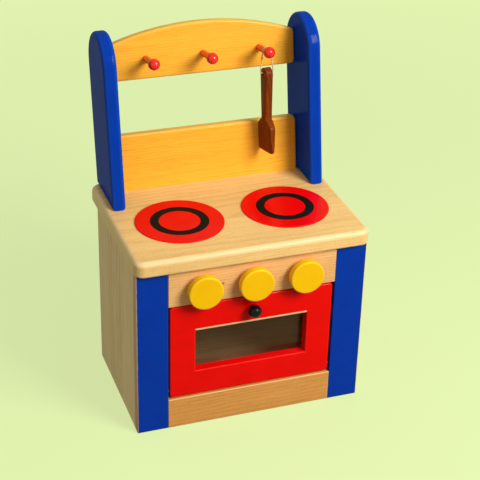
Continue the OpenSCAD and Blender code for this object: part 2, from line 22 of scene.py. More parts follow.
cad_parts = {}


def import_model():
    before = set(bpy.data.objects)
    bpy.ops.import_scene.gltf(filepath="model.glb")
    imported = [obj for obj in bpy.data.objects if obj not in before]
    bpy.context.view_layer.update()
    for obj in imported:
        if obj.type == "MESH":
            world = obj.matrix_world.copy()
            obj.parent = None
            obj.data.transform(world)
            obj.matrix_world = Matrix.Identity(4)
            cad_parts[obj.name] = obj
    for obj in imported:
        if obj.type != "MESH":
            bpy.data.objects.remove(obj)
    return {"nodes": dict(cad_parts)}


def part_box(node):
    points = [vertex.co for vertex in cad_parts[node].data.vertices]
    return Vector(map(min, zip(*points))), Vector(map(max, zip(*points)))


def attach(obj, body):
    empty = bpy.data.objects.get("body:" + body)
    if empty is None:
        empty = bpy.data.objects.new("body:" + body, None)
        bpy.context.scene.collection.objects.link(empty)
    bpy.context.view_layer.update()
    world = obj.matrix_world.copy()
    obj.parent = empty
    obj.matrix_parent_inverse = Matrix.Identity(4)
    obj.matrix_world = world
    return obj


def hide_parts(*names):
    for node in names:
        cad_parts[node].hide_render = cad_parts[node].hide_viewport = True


LOG = logging.getLogger("toy_cooker")
MM = 0.001
TAU = 2 * math.pi

# The record, on each mesh, of how far a point lies on a rounded edge.
EDGE = "edge"
# What stands for a radius of nothing on the axis of a turned piece.
AXIS_R = 0.01 * MM
# The corner of a board that is only eased with sandpaper.
SHARP_R = 0.3 * MM
# Turn what points up so that it points to the front, to the back, down or to the right.
TO_FRONT, TO_BACK, TO_FLOOR = (Matrix.Rotation(math.pi / 2 * turns, 4, "X") for turns in (1, -1, 2))
TO_RIGHT = Matrix.Rotation(math.pi / 2, 4, "Z") @ TO_FRONT

Point = tuple[float, float]
Triple = tuple[float, float, float]
Colour = tuple[float, float, float, float]
Edge = Union[float, Sequence[float]]
Outline = Callable[[float], list[Point]]


def paint_colour(code: str) -> Colour:
    """A colour for a shader from its six hexadecimal digits.

    Args:
        code: red, green and blue as they look on a screen, such as "E8C996".

    Returns:
        The same colour in linear light, with full alpha.
    """
    shares = [int(code[i : i + 2], 16) / 255 for i in (0, 2, 4)]
    linear = [c / 12.92 if c <= 0.04045 else ((c + 0.055) / 1.055) ** 2.4 for c in shares]
    return (linear[0], linear[1], linear[2], 1.0)


# ---- Shader maths ----


class Value:
    """A socket that carries a number, a vector or a colour, with arithmetic on numbers."""

    def __init__(self, graph: Graph, socket: bpy.types.NodeSocket | None) -> None:
        """Wraps a socket of one of the graph's nodes, or none for a node that ends the graph."""
        self.graph = graph
        self.socket = socket

    def _math(self, operation: str, first: Number, second: Number = 0.0) -> Value:
        """Adds one Math node to the graph."""
        return self.graph.node("Math", {"operation": operation}, {0: first, 1: second})

    def __add__(self, other: Number) -> Value:
        """The sum of two numbers."""
        return self._math("ADD", self, other)

    def __sub__(self, other: Number) -> Value:
        """This number less the other."""
        return self._math("SUBTRACT", self, other)

    def __rsub__(self, other: Number) -> Value:
        """The other number less this one."""
        return self._math("SUBTRACT", other, self)

    def __mul__(self, other: Number) -> Value:
        """The product of two numbers."""
        return self._math("MULTIPLY", self, other)

    def __truediv__(self, other: Number) -> Value:
        """This number divided by the other."""
        return self._math("DIVIDE", self, other)

    def __rtruediv__(self, other: Number) -> Value:
        """The other number divided by this one."""
        return self._math("DIVIDE", other, self)

    __radd__ = __add__
    __rmul__ = __mul__

    def output(self, name: str) -> Value:
        """Another output of the same node."""
        return Value(self.graph, self.socket.node.outputs[name])

    def root(self) -> Value:
        """The square root."""
        return self._math("SQRT", self)

    def size(self) -> Value:
        """The number without its sign."""
        return self._math("ABSOLUTE", self)

    def whole(self) -> Value:
        """The next whole number below."""
        return self._math("FLOOR", self)

    def rest(self) -> Value:
        """What is left above the next whole number below."""
        return self._math("FRACT", self)

    def larger(self, other: Number) -> Value:
        """The larger of two numbers."""
        return self._math("MAXIMUM", self, other)

    def rise(self, low: float, high: float) -> Value:
        """A smooth step between two numbers, either of which may be the larger.

        Args:
            low: the number at and beyond which the step is 0.
            high: the number at and beyond which the step is 1.

        Returns:
            The step, from 0 to 1.
        """
        flip = low > high
        span = {"Value": self, "From Min": min(low, high), "From Max": max(low, high)}
        ends = {"To Min": float(flip), "To Max": float(not flip)}
        return self.graph.node("MapRange", {"interpolation_type": "SMOOTHSTEP"}, {**span, **ends})


Number = Union[Value, float]


class Graph:
    """The nodes of one material, or of the world."""

    def __init__(self, owner: bpy.types.Material | bpy.types.World) -> None:
        """Clears the owner's nodes and takes them over."""
        owner.use_nodes = True
        self.owner = owner
        self.tree = owner.node_tree
        self.tree.nodes.clear()

    @classmethod
    def named(cls, name: str) -> Graph:
        """A graph for a new material of that name."""
        return cls(bpy.data.materials.new(name))

    @classmethod
    def of_board(cls, finish: str, grain: Grain, cut: float) -> Graph:
        """A graph for a finish on one board, named by its grain and its cut."""
        return cls.named(f"{finish}_{grain.name.lower()}_{round(cut * 10)}")

    def node(
        self,
        kind: str,
        settings: dict[str, object] | None = None,
        inputs: dict[str | int, object] | None = None,
        output: str | int = 0,
    ) -> Value:
        """Adds a node.

        Args:
            kind: the node's type, without the words that every shader node's type starts with.
            settings: what is set on the node itself, before its sockets.
            inputs: a value or a link for each socket named or counted.
            output: the socket that the result wraps.

        Returns:
            The chosen output.
        """
        made = self.tree.nodes.new("ShaderNode" + kind)
        for name, setting in (settings or {}).items():
            setattr(made, name, setting)
        for name, value in (inputs or {}).items():
            if isinstance(value, Value):
                self.tree.links.new(value.socket, made.inputs[name])
            else:
                made.inputs[name].default_value = value
        return Value(self, made.outputs[output] if made.outputs else None)

    def vector(
        self, operation: str, first: object, second: object = (0, 0, 0), output: str | int = 0
    ) -> Value:
        """Adds one Vector Math node."""
        return self.node("VectorMath", {"operation": operation}, {0: first, 1: second}, output)

    def here(self) -> Value:
        """The point on the piece, in its own axes."""
        return self.node("TexCoord", output="Object")

    def place(self, turn: Triple, shift: Triple) -> Value:
        """The point on the piece, turned and then shifted."""
        sockets = {"Vector": self.here(), "Rotation": turn, "Location": shift}
        return self.node("Mapping", None, sockets)

    def parts(self, point: Value) -> tuple[Value, Value, Value]:
        """The three coordinates of a point."""
        split = self.node("SeparateXYZ", None, {0: point})
        return split, split.output("Y"), split.output("Z")

    def noise(self, point: Value, scale: float, detail: float = 2.0, output: str = "Fac") -> Value:
        """Soft noise of about scale cells to the unit."""
        sockets = {"Vector": point, "Scale": scale, "Detail": detail}
        return self.node("TexNoise", None, sockets, output)

    def streaks(self, point: Value, scale: Triple, detail: float = 2.0,
                output: str = "Fac") -> Value:
        """Soft noise with its own count of cells along each axis."""
        return self.noise(self.vector("MULTIPLY", point, scale), 1.0, detail, output)

    def chance(self, number: Value) -> Value:
        """A share from 0 to 1 that is another for each whole number."""
        return self.node("TexWhiteNoise", {"noise_dimensions": "1D"}, {"W": number})

    def mix(self, share: Number, first: Value | str, second: Value | str) -> Value:
        """A mix of two colours.

        Args:
            share: how much of the second colour it holds.
            first: a colour, as a value or by its code.
            second: the other colour, as a value or by its code.

        Returns:
            The mixed colour.
        """
        one, other = (paint_colour(c) if isinstance(c, str) else c for c in (first, second))
        return self.node("Mix", {"data_type": "RGBA"}, {0: share, 6: one, 7: other}, output=2)

    def seen(self) -> Value:
        """1 for rays that show the stage, direct or in gloss or glass, and 0 for light."""
        camera = self.node("LightPath", output="Is Camera Ray")
        mirrored = camera.larger(camera.output("Is Glossy Ray"))
        return mirrored.larger(camera.output("Is Transmission Ray"))

    def edge(self) -> Value:
        """How far the surface is a rounded edge, as the meshes record it."""
        return self.node("Attribute", {"attribute_name": EDGE}, output="Fac")

    def bump(self, height: Number, distance: float, strength: float) -> Value:
        """A surface roughened by a height that goes from 0 to 1 over a distance."""
        sockets = {"Height": height, "Distance": distance, "Strength": strength}
        return self.node("Bump", None, sockets)

    def finish(self, sockets: dict[str, object]) -> bpy.types.Material:
        """Closes the graph with its shader.

        Args:
            sockets: the values and links of the shader's sockets.

        Returns:
            The finished material.
        """
        shader = self.node("BsdfPrincipled", None, sockets)
        self.node("OutputMaterial", None, {"Surface": shader})
        return self.owner


# ---- Finishes ----


class Grain(Enum):
    """Which way the wood's grain runs on the cooker, as the turn that brings it to lie along X."""

    ACROSS = (0.0, 0.0, 0.0)
    DEEP = (0.0, 0.0, -math.pi / 2)
    UPRIGHT = (0.0, math.pi / 2, 0.0)


@dataclass(frozen=True)
class Timber:
    """Solid wood with its rings, fibres and flecks, under a thin lacquer.

    The colours are codes. A stave is the width of the strips that a wide board is glued from, and 0
    for a board in one piece. The last four fields count the cells of each pattern to the metre,
    first along the grain and then across it.
    """

    name: str
    pale: str = "F2CB94"
    dark: str = "D2A06A"
    fleck: str = "A8703C"
    ring: float = 2.6 * MM
    fleck_strength: float = 0.42
    roughness: float = 0.46
    coat: float = 0.06
    gloss: float = 0.3
    contrast: float = 1.0
    wander: float = 5.0 * MM
    relief: float = 0.06 * MM
    stave: float = 0.0
    knots: tuple[Triple, ...] = ()
    drift_cells: Triple = (5, 26, 26)
    cloud_cells: Triple = (9, 40, 40)
    fibre_cells: Triple = (55, 1900, 1900)
    fleck_cells: Triple = (190, 1250, 1250)

    def surface(self, graph: Graph, grain: Grain, cut: float) -> tuple[Value, Value, Value]:
        """Adds the wood's nodes.

        Args:
            graph: the material's graph.
            grain: the way that the grain runs.
            cut: where in the log the board was cut, so that no two look alike.

        Returns:
            The colour, the height of the surface from 0 to 1 and the fibres' own pattern.
        """
        log = (0.37 * cut, 0.021 + 0.013 * math.sin(cut * 2.1), 0.034 + 0.017 * math.cos(cut * 1.7))
        point = graph.place(grain.value, log)
        tone: Number = 0.0
        if self.stave:
            _, y, z = graph.parts(point)
            tone = graph.chance(((z if grain is Grain.DEEP else y) / self.stave).whole())
            offset = graph.node("CombineXYZ", None, {0: tone * 0.9, 1: tone * 0.03, 2: tone * 0.05})
            point = graph.vector("ADD", point, offset)
        drift = graph.streaks(point, self.drift_cells, 2.0, "Color")
        sway = graph.vector("SUBTRACT", drift, (0.5, 0.5, 0.5))
        bend = graph.vector("MULTIPLY", sway, (0, 2 * self.wander, 2 * self.wander))
        bent = graph.vector("ADD", point, bend)
        _, y, z = graph.parts(bent)
        turns = (y * y + z * z).root() / self.ring
        late = turns.rest().rise(0.30, 0.92) * turns.rest().rise(1.0, 0.93)
        year = graph.chance(turns.whole())
        fibre = graph.streaks(bent, self.fibre_cells, 3.0)
        cloud = graph.streaks(point, self.cloud_cells)
        cells = graph.vector("MULTIPLY", bent, self.fleck_cells)
        dash = graph.node("TexVoronoi", None, {"Vector": cells, "Scale": 1.0}, "Distance")
        some = graph.node("SeparateColor", None, {0: dash.output("Color")}).rise(0.35, 0.45)
        flecks = dash.rise(0.30, 0.12) * some
        rings = (late * 0.30 + year * 0.16) * self.contrast
        depth = rings + fibre.rise(0.36, 0.68) * 0.26 + cloud * 0.34 + tone * 0.20
        tint = graph.mix(depth.rise(0.05, 1.0), self.pale, self.dark)
        colour = graph.mix(flecks * self.fleck_strength, tint, self.fleck)
        height = fibre * 0.5 - flecks * 0.4 + late * 0.2
        for spot in self.knots:
            colour = self._knot(graph, colour, spot)
        return colour, height, fibre

    def _knot(self, graph: Graph, colour: Value, spot: Triple) -> Value:
        """Darkens the wood round one small knot.

        Args:
            graph: the material's graph.
            colour: the wood's colour so far.
            spot: the knot's middle on the board.

        Returns:
            The colour with the knot in it.
        """
        reach = graph.vector("DISTANCE", graph.here(), spot, "Value")
        ragged = reach + graph.noise(graph.here(), 900.0) * (0.9 * MM)
        return graph.mix(ragged.rise(2.6 * MM, 0.9 * MM) * 0.8, colour, "6E4320")

    def material(self, grain: Grain, cut: float) -> bpy.types.Material:
        """The lacquered wood of one board.

        Args:
            grain: the way that the grain runs.
            cut: where in the log the board was cut.

        Returns:
            A material for that board alone.
        """
        graph = Graph.of_board(self.name, grain, cut)
        colour, height, fibre = self.surface(graph, grain, cut)
        return graph.finish({
            # Rounded edges are mixed towards a paler colour: partly sanded wood, partly a painted
            # highlight.
            "Base Color": graph.mix(graph.edge() * 0.34, colour, "FCE4BC"),
            "Roughness": fibre * 0.12 + (self.roughness - 0.06),
            "Coat Weight": self.coat,
            "Coat Roughness": 0.22,
            "Specular IOR Level": self.gloss,
            "Normal": graph.bump(height, self.relief, 0.55),
        })


@dataclass(frozen=True)
class Paint:
    """Gloss paint brushed on smooth wood, lighter along the rounded edges: partly thinner paint,
    partly a painted highlight.

    Where it names a wood, that wood shows beyond a distance from the cooker's middle.
    """

    name: str
    colour: str
    deep: str
    # thin: the colour along the rounded edges, partly thinner paint and partly a painted highlight.
    thin: str
    roughness: float = 0.32
    coat: float = 0.12
    gloss: float = 0.03
    relief: float = 0.045 * MM
    brush_cells: Triple = (38, 1300, 1300)
    wood: Timber | None = None
    bare_beyond: float = 0.0

    def material(self, grain: Grain, cut: float) -> bpy.types.Material:
        """The painted finish of one piece.

        Args:
            grain: the way that the wood's grain runs under the paint.
            cut: where in the log the wood was cut.

        Returns:
            A material for that piece alone.
        """
        graph = Graph.of_board(self.name, grain, cut)
        point = graph.place(grain.value, (0.31 * cut, 0.017 * cut, 0.011 * cut))
        pool = graph.noise(point, 42.0, 3.0)
        brush = graph.streaks(point, self.brush_cells, 3.0)
        peel = graph.noise(point, 760.0)
        base = graph.mix(pool.rise(0.30, 0.80) * 0.30, self.colour, self.deep)
        streaked = graph.mix(brush.rise(0.50, 0.85) * 0.28, base, self.deep)
        # Painted highlight along the rounded edges, together with the paint's thinning there.
        colour = graph.mix(graph.edge() * 0.30, streaked, self.thin)
        height: Value = peel * 0.55 + brush * 0.45
        rough: Value = pool * 0.08 + (self.roughness - 0.04)
        coat: Number = self.coat
        if self.wood:
            bare_colour, bare_height, _ = self.wood.surface(graph, grain, cut)
            across, _, _ = graph.parts(graph.here())
            ragged = across.size() + graph.noise(graph.here(), 260.0) * (0.5 * MM)
            bare = ragged.rise(self.bare_beyond, self.bare_beyond + 0.25 * MM)
            colour = graph.mix(bare, colour, bare_colour)
            height = height * (1 - bare) + bare_height * bare
            rough = rough * (1 - bare) + bare * self.wood.roughness
            coat = (1 - bare) * self.coat
        return graph.finish({
            "Base Color": colour,
            "Roughness": rough,
            "Coat Weight": coat,
            "Coat Roughness": 0.12,
            "Specular IOR Level": self.gloss,
            "Normal": graph.bump(height, self.relief, 0.40),
        })


@dataclass(frozen=True)
class Stain:
    """Bright see-through colour over wood, so that the grain shows through it."""

    name: str
    # tint: the paler colour of the rounded edges, partly thinner stain and partly a painted
    # highlight.
    tint: str
    wood: Timber
    relief: float = 0.05 * MM

    def material(self, grain: Grain, cut: float) -> bpy.types.Material:
        """The stained finish of one board.

        Args:
            grain: the way that the grain runs.
            cut: where in the log the board was cut.

        Returns:
            A material for that board alone.
        """
        graph = Graph.of_board(self.name, grain, cut)
        colour, height, fibre = self.wood.surface(graph, grain, cut)
        return graph.finish({
            # Rounded edges are mixed towards the tint: partly thinner stain, partly a painted
            # highlight.
            "Base Color": graph.mix(graph.edge() * 0.25, colour, self.tint),
            "Roughness": fibre * 0.10 + 0.32,
            "Coat Weight": 0.06,
            "Coat Roughness": 0.16,
            "Specular IOR Level": 0.2,
            "Normal": graph.bump(height, self.relief, 0.45),
        })


@dataclass(frozen=True)
class ClearSheet:
    """A clear plastic sheet with the faintest smears, tinted dark brown as painted shade of the
    oven's inside behind it.
    """

    name: str = "clear_sheet"
    # The dark brown colour is painted shade of the oven's inside, seen through the sheet.
    colour: str = "4A2508"
    alpha: float = 0.34
    relief: float = 0.02 * MM

    def material(self) -> bpy.types.Material:
        """Makes the sheet's material.

        Returns:
            The new material.
        """
        graph = Graph.named(self.name)
        smear = graph.streaks(graph.here(), (30, 30, 90), 3.0)
        return graph.finish({
            "Base Color": paint_colour(self.colour),
            "Roughness": smear.rise(0.45, 0.75) * 0.10 + 0.05,
            "Alpha": smear.rise(0.40, 0.80) * 0.05 + self.alpha,
            "IOR": 1.49,
            "Normal": graph.bump(smear, self.relief, 0.15),
        })


@dataclass(frozen=True)
class Plywood:
    """Thin plywood: a plain face, and its layers along the cut edges."""

    name: str
    face: Timber
    glue: str = "8C6236"
    layer: float = 1.0 * MM
    relief: float = 0.08 * MM

    def material(self, cut: float) -> bpy.types.Material:
        """Makes the plywood's material, with its layers stacked from front to back.

        Args:
            cut: where in the log the face was cut.

        Returns:
            The new material.
        """
        graph = Graph.named(self.name)
        colour, height, fibre = self.face.surface(graph, Grain.UPRIGHT, cut)
        _, deep, _ = graph.parts(graph.here())
        dark_layer = (deep / (2 * self.layer)).rest().rise(0.46, 0.54)
        _, facing, _ = graph.parts(graph.node("TexCoord", output="Normal"))
        cut_edge = facing.size().rise(0.6, 0.3)
        return graph.finish({
            "Base Color": graph.mix(dark_layer * cut_edge * 0.55, colour, self.glue),
            "Roughness": fibre * 0.15 + 0.55,
            "Normal": graph.bump(height, self.relief, 0.7),
        })


@dataclass(frozen=True)
class Cotton:
    """Natural cotton string, slightly fuzzy, with painted shade in the grooves between its strands.
    """

    name: str = "cotton"
    colour: str = "EAD4A6"
    # groove: the colour of the painted shade between the strands.
    groove: str = "A68654"
    fuzz: str = "CDB384"
    relief: float = 0.08 * MM

    def material(self) -> bpy.types.Material:
        """Makes the string's material. The meshes' edge record marks the crests of the strands.

        Returns:
            The new material.
        """
        graph = Graph.named(self.name)
        fuzz = graph.noise(graph.here(), 5200.0, 3.0)
        # Painted shade: darker in the grooves, the string's own colour on the strands' crests.
        groove_shaded = graph.mix(graph.edge().rise(0.15, 0.75), self.groove, self.colour)
        return graph.finish({
            "Base Color": graph.mix(fuzz.rise(0.4, 0.8) * 0.25, groove_shaded, self.fuzz),
            "Roughness": fuzz * 0.1 + 0.80,
            "Normal": graph.bump(fuzz, self.relief, 0.6),
        })


BEECH = Timber("beech")
WORKTOP_BEECH = Timber("worktop_beech", pale="F8CF86", dark="DDA55A", stave=59.5 * MM, contrast=0.6)
SIDE_BEECH = Timber("side_beech", pale="F2C590", dark="CE9764", stave=50 * MM, contrast=0.6)
PANEL_BEECH = Timber("panel_beech", pale="F6C07C", dark="D29450", fleck="A0642C", contrast=0.6,
                     knots=((-31.5 * MM, -90.4 * MM, 160.5 * MM),))
KICK_BEECH = Timber("kick_beech", pale="E2A052", dark="BE7A30", fleck="935A24", contrast=0.6)
AMBER_WOOD = Timber("amber_wood", pale="FFBC38", dark="EA961A", fleck="D47A0C", fleck_strength=0.3,
                    contrast=0.7, gloss=0.14)
BROWN_WOOD = Timber("brown_wood", pale="8E3E0A", dark="521C04", fleck="361606", ring=1.7 * MM,
                    roughness=0.45, coat=0.08, gloss=0.05)
PLY_FACE = Timber("ply_face", pale="E6C492", dark="CFA66C", ring=6.5 * MM, fleck_strength=0.25)
# Each paint's thin colour lies along its rounded edges: partly thinner paint, partly a painted
# highlight.
BLUE = Paint("blue_paint", colour="0238A4", deep="022A86", thin="1B5ACC", gloss=0.0)
BLUE_STILE = replace(BLUE, name="blue_stile", wood=BEECH, bare_beyond=117.9 * MM)
RED = Paint("red_paint", colour="F20404", deep="D00202", thin="FA2A1A")
PEG_RED = replace(RED, name="peg_red", roughness=0.2, coat=0.35, gloss=0.4)
YELLOW = Paint("yellow_paint", colour="FCC40A", deep="F4B004", thin="FFDA4C")
BLACK = Paint("black_paint", colour="0D0D0E", deep="070708", thin="161618", roughness=0.26,
              coat=0.02, gloss=0.12)
MATT_BLACK = Paint("matt_black_paint", colour="0E0D0D", deep="080707", thin="1C1A1A", roughness=0.6,
                   coat=0.0, gloss=0.06)
# Its tint lies along the rounded edges: partly thinner stain, partly a painted highlight.
AMBER = Stain("amber_stain", tint="FFD668", wood=AMBER_WOOD)


# ---- Outlines ----


def rounded(r: float, steps: int) -> list[Triple]:
    """The quarter round between a board's side and its face.

    Args:
        r: its radius.
        steps: how many steps it takes.

    Returns:
        Depth below the face, inset from the side and share of edge, from the side to the face.
    """
    turn = [math.pi / 2 * i / steps for i in range(steps + 1)]
    return [(r * (1 - math.sin(a)), r * (1 - math.cos(a)), math.sin(2 * a)) for a in turn]


def full_turn(steps: int) -> list[float]:
    """The angles of a full turn in even steps, with its start alone."""
    return [TAU * i / steps for i in range(steps)]


def shares(steps: int) -> list[float]:
    """The shares of the way that each step ends at, up to the whole."""
    return [i / steps for i in range(1, steps + 1)]


def arc(x: float, y: float, r: float, start: float, end: float, steps: int) -> list[Point]:
    """Points along an arc about x, y, from one angle to another in degrees."""
    turn = [math.radians(start + (end - start) * i / steps) for i in range(steps + 1)]
    return [(x + r * math.cos(a), y + r * math.sin(a)) for a in turn]


def around(r: float, z: float, angles: Sequence[float]) -> list[Vector]:
    """Points about the Z axis at one radius and height."""
    return [Vector((r * math.cos(a), r * math.sin(a), z)) for a in angles]


def ball_profile(centre: float, ball_r: float, neck_r: float, steps: int) -> list[Triple]:
    """The profile of a turned ball that stands on a neck.

    Args:
        centre: the height of the ball's middle.
        ball_r: its radius.
        neck_r: the neck's radius, where the profile starts.
        steps: how many steps it takes to the ball's head.

    Returns:
        Radius, height and share of edge for each ring.
    """
    waist = math.degrees(math.asin(neck_r / ball_r))
    return [(max(r, AXIS_R), z, 0.0) for r, z in arc(0, centre, ball_r, waist - 90, 90, steps)]


def filleted(corners: Sequence[Triple], steps: int = 6) -> list[Triple]:
    """A turned piece's profile with its corners rounded.

    Args:
        corners: radius, height and the corner's own rounding, from the foot's axis to the
            head's axis.
        steps: how many steps each corner takes.

    Returns:
        Radius, height and share of edge for each ring, with holding rings beside each corner.
    """
    points = [Vector((r, z)) for r, z, _ in corners]
    rows: list[Triple] = [(max(points[0].x, AXIS_R), points[0].y, 0.0)]
    for before, here, after, (_, _, radius) in zip(points, points[1:], points[2:], corners[1:]):
        into, out = (here - before).normalized(), (after - here).normalized()
        half = math.acos(max(-1.0, min(1.0, into.dot(out)))) / 2
        reach = radius * math.tan(half)
        first, last = here - into * reach, here + out * reach
        centre = here + (out - into).normalized() * (radius / math.cos(half))
        hold = min(Shape.HOLD, (here - before).length * 0.3, (after - here).length * 0.3)
        rows.append(((first - into * hold).x, (first - into * hold).y, 0.0))
        for i in range(steps + 1):
            chord = first.lerp(last, i / steps)
            spoke = centre + (chord - centre).normalized() * radius
            rows.append((spoke.x, spoke.y, math.sin(math.pi * i / steps)))
        rows.append(((last + out * hold).x, (last + out * hold).y, 0.0))
    rows.append((max(points[-1].x, AXIS_R), points[-1].y, 0.0))
    return rows


@dataclass(frozen=True)
class Rectangle:
    """A rectangle with rounded corners, as an outline that can be drawn inset."""

    left: float
    right: float
    low: float
    high: float
    corner: float
    steps: int = 8

    def __call__(self, inset: float) -> list[Point]:
        """Draws the outline.

        Args:
            inset: how far inside the rectangle it runs.

        Returns:
            Its points, all round.
        """
        r = max(self.corner - inset, 0.02 * MM)
        edge = inset + r
        a, b = self.left + edge, self.right - edge
        c, d = self.low + edge, self.high - edge
        corners = ((b, c, -90), (b, d, 0), (a, d, 90), (a, c, 180))
        return [point for x, y, start in corners
                for point in arc(x, y, r, start, start + 90, self.steps)]


# ---- Meshes ----


class Shape:
    """A mesh in the making.

    HOLD is how far beside a rounding the next ring lies, so that the flat beyond it shades flat.
    """

    HOLD = 0.7 * MM

    def __init__(self) -> None:
        """Starts with nothing."""
        self.mesh = bmesh.new()
        self.edge = self.mesh.verts.layers.float.new(EDGE)

    def ring(self, points: Sequence[Vector], edge: Edge = 0.0) -> list[bmesh.types.BMVert]:
        """Adds a ring of points.

        Args:
            points: where they are.
            edge: the share of edge that all of them record, or one for each.

        Returns:
            The ring.
        """
        ring = [self.mesh.verts.new(p) for p in points]
        for i, vert in enumerate(ring):
            vert[self.edge] = edge if isinstance(edge, float) else edge[i]
        return ring

    def join(self, first: Sequence[bmesh.types.BMVert],
             second: Sequence[bmesh.types.BMVert]) -> None:
        """Joins two rings with a band of faces.

        Args:
            first: the one ring.
            second: the other, of as many points.
        """
        for i, k in enumerate([*range(1, len(first)), 0]):
            self.mesh.faces.new((first[i], first[k], second[k], second[i]))

    def rings(self, rows: Sequence[tuple[Sequence[Vector], Edge]], closed: bool = False) -> Shape:
        """Joins rows of points into a skin.

        Args:
            rows: the points of each ring and its share of edge, or its points' shares.
            closed: True joins the last ring to the first; otherwise both ends are capped.

        Returns:
            This shape.
        """
        made = [self.ring(points, edge) for points, edge in rows]
        for first, second in zip(made, made[1:]):
            self.join(first, second)
        if closed:
            self.join(made[-1], made[0])
        else:
            self.mesh.faces.new(list(reversed(made[0])))
            self.mesh.faces.new(made[-1])
        return self

    @staticmethod
    def rounding(thick: float, low_r: float, high_r: float, steps: int = 6) -> list[Triple]:
        """The section of a board's edge, from the middle of one face round to the other.

        Args:
            thick: the board's thickness.
            low_r: the radius at depth 0.
            high_r: the radius at full depth.
            steps: how many steps each quarter round takes.

        Returns:
            Depth, inset and share of edge for each ring.
        """
        hold = Shape.HOLD
        rows = [(0.0, low_r + hold, 0.0)] + rounded(low_r, steps)[::-1]
        if thick - low_r - high_r > 2.5 * hold:
            rows += [(low_r + hold, 0.0, 0.0), (thick - high_r - hold, 0.0, 0.0)]
        rows += [(thick - depth, inset, edge) for depth, inset, edge in rounded(high_r, steps)]
        return rows + [(thick, high_r + hold, 0.0)]

    def board(self, outline: Outline, thick: float, low_r: float, high_r: float) -> Shape:
        """A board from Z = 0 up, rounded along the edges of both faces.

        Args:
            outline: gives the convex outline at an inset.
            thick: the board's thickness.
            low_r: the radius of the lower face's edges.
            high_r: the radius of the upper face's edges.

        Returns:
            This shape.
        """
        return self.rings([
            ([Vector((x, y, depth)) for x, y in outline(inset)], edge)
            for depth, inset, edge in self.rounding(thick, low_r, high_r)
        ])

    def turned(self, profile: Sequence[Triple], steps: int = 72) -> Shape:
        """What a lathe makes about the Z axis.

        Args:
            profile: radius, height and share of edge, from the foot's middle to the head's middle.
            steps: how many flats the round takes.

        Returns:
            This shape.
        """
        return self.rings([(around(r, z, full_turn(steps)), edge) for r, z, edge in profile])

    def placed(self, matrix: Matrix) -> Shape:
        """Moves the whole shape."""
        self.mesh.transform(matrix)
        return self

    def build(self, name: str, smooth: float = 35.0) -> bpy.types.Object:
        """Makes the object.

        Args:
            name: the piece's name.
            smooth: the angle in degrees from which an edge stays sharp.

        Returns:
            The object, with its faces turned outwards and smoothly shaded.
        """
        bmesh.ops.remove_doubles(self.mesh, verts=self.mesh.verts, dist=0.002 * MM)
        bmesh.ops.recalc_face_normals(self.mesh, faces=self.mesh.faces)
        data = bpy.data.meshes.new(name)
        self.mesh.to_mesh(data)
        self.mesh.free()
        data.polygons.foreach_set("use_smooth", [True] * len(data.polygons))
        data.set_sharp_from_angle(angle=math.radians(smooth))
        made = bpy.data.objects.new(name, data)
        bpy.context.scene.collection.objects.link(made)
        return made


def at(x: float, y: float, z: float) -> Matrix:
    """Puts what has its foot at the origin at x, y, z."""
    return Matrix.Translation((x, y, z))


def cut_hole(piece: bpy.types.Object, cutter: bpy.types.Object) -> None:
    """Takes the cutter's shape out of the piece and discards the cutter.

    Args:
        piece: the piece that gets the hole.
        cutter: a closed mesh in the hole's place.
    """
    cut = piece.modifiers.new("hole", "BOOLEAN")
    cut.operation, cut.solver, cut.object = "DIFFERENCE", "EXACT", cutter
    shown = bpy.context.evaluated_depsgraph_get()
    data = bpy.data.meshes.new_from_object(piece.evaluated_get(shown))
    piece.modifiers.clear()
    piece.data = data
    bpy.data.objects.remove(cutter)


@dataclass(frozen=True)
class ScrewHead:
    """A cross-head screw's head, whose rim stands proud of the face that it lies in.

    The recess's slot, its reach and its depth, and the head's seat in the face, are shares of the
    radius.
    """

    radius: float
    proud: float
    slot: float = 0.32
    reach: float = 0.62
    depth: float = 0.45
    seat: float = 0.4
    taper: float = 0.8

    def build(self, name: str, places: Sequence[Matrix]) -> bpy.types.Object:
        """Builds heads that point along each place's Z axis.

        Args:
            name: the piece's name.
            places: where each head's middle lies on the face.

        Returns:
            One object with all the heads.
        """
        r, top = self.radius, self.proud
        ease = min(0.35 * r, top * 0.8)
        cross = self._cross(r * self.reach, r * self.slot / 2)
        angles = [math.atan2(y, x) for x, y in cross]
        bevel = ease * 0.3
        circles = ((r, -self.seat * r), (r, top - ease), (r - bevel, top - bevel), (r - ease, top))
        rows = [around(q, z, angles) for q, z in circles]
        rows.append([Vector((x, y, top)) for x, y in cross])
        floor = top - r * self.depth
        rows.append([Vector((x * self.taper, y * self.taper, floor)) for x, y in cross])
        shape = Shape()
        for place in places:
            shape.rings([([place @ p for p in points], 0.0) for points in rows])
        return shape.build(name, 30.0)

    @staticmethod
    def _cross(reach: float, arm: float) -> list[Point]:
        """The outline of a cross-shaped recess, with extra points so that its rim stays even.

        Args:
            reach: how far each arm reaches from the middle.
            arm: half an arm's width.

        Returns:
            The outline's points, all round.
        """
        corner = [(reach, -arm), (reach, 0), (reach, arm), (reach * 0.5, arm * 1.05),
                  (arm * 1.1, arm * 1.1), (arm * 1.05, reach * 0.5)]
        turns = ((1, 0), (0, 1), (-1, 0), (0, -1))
        return [(c * x - s * y, s * x + c * y) for c, s in turns for x, y in corner]


# ---- Places in the frame ----


class Side(Enum):
    """Where a piece of a set sits, in steps from the middle."""

    LEFT = -1
    MIDDLE = 0
    RIGHT = 1

    def of(self, kind: str) -> str:
        """The name of the set's piece on this side."""
        return f"{kind}_{self.name.lower()}"


class Face(Enum):
    """A face of a box, as the axes along its width and its height."""

    TOP = (0, 1)
    FRONT = (0, 2)
    END = (1, 2)


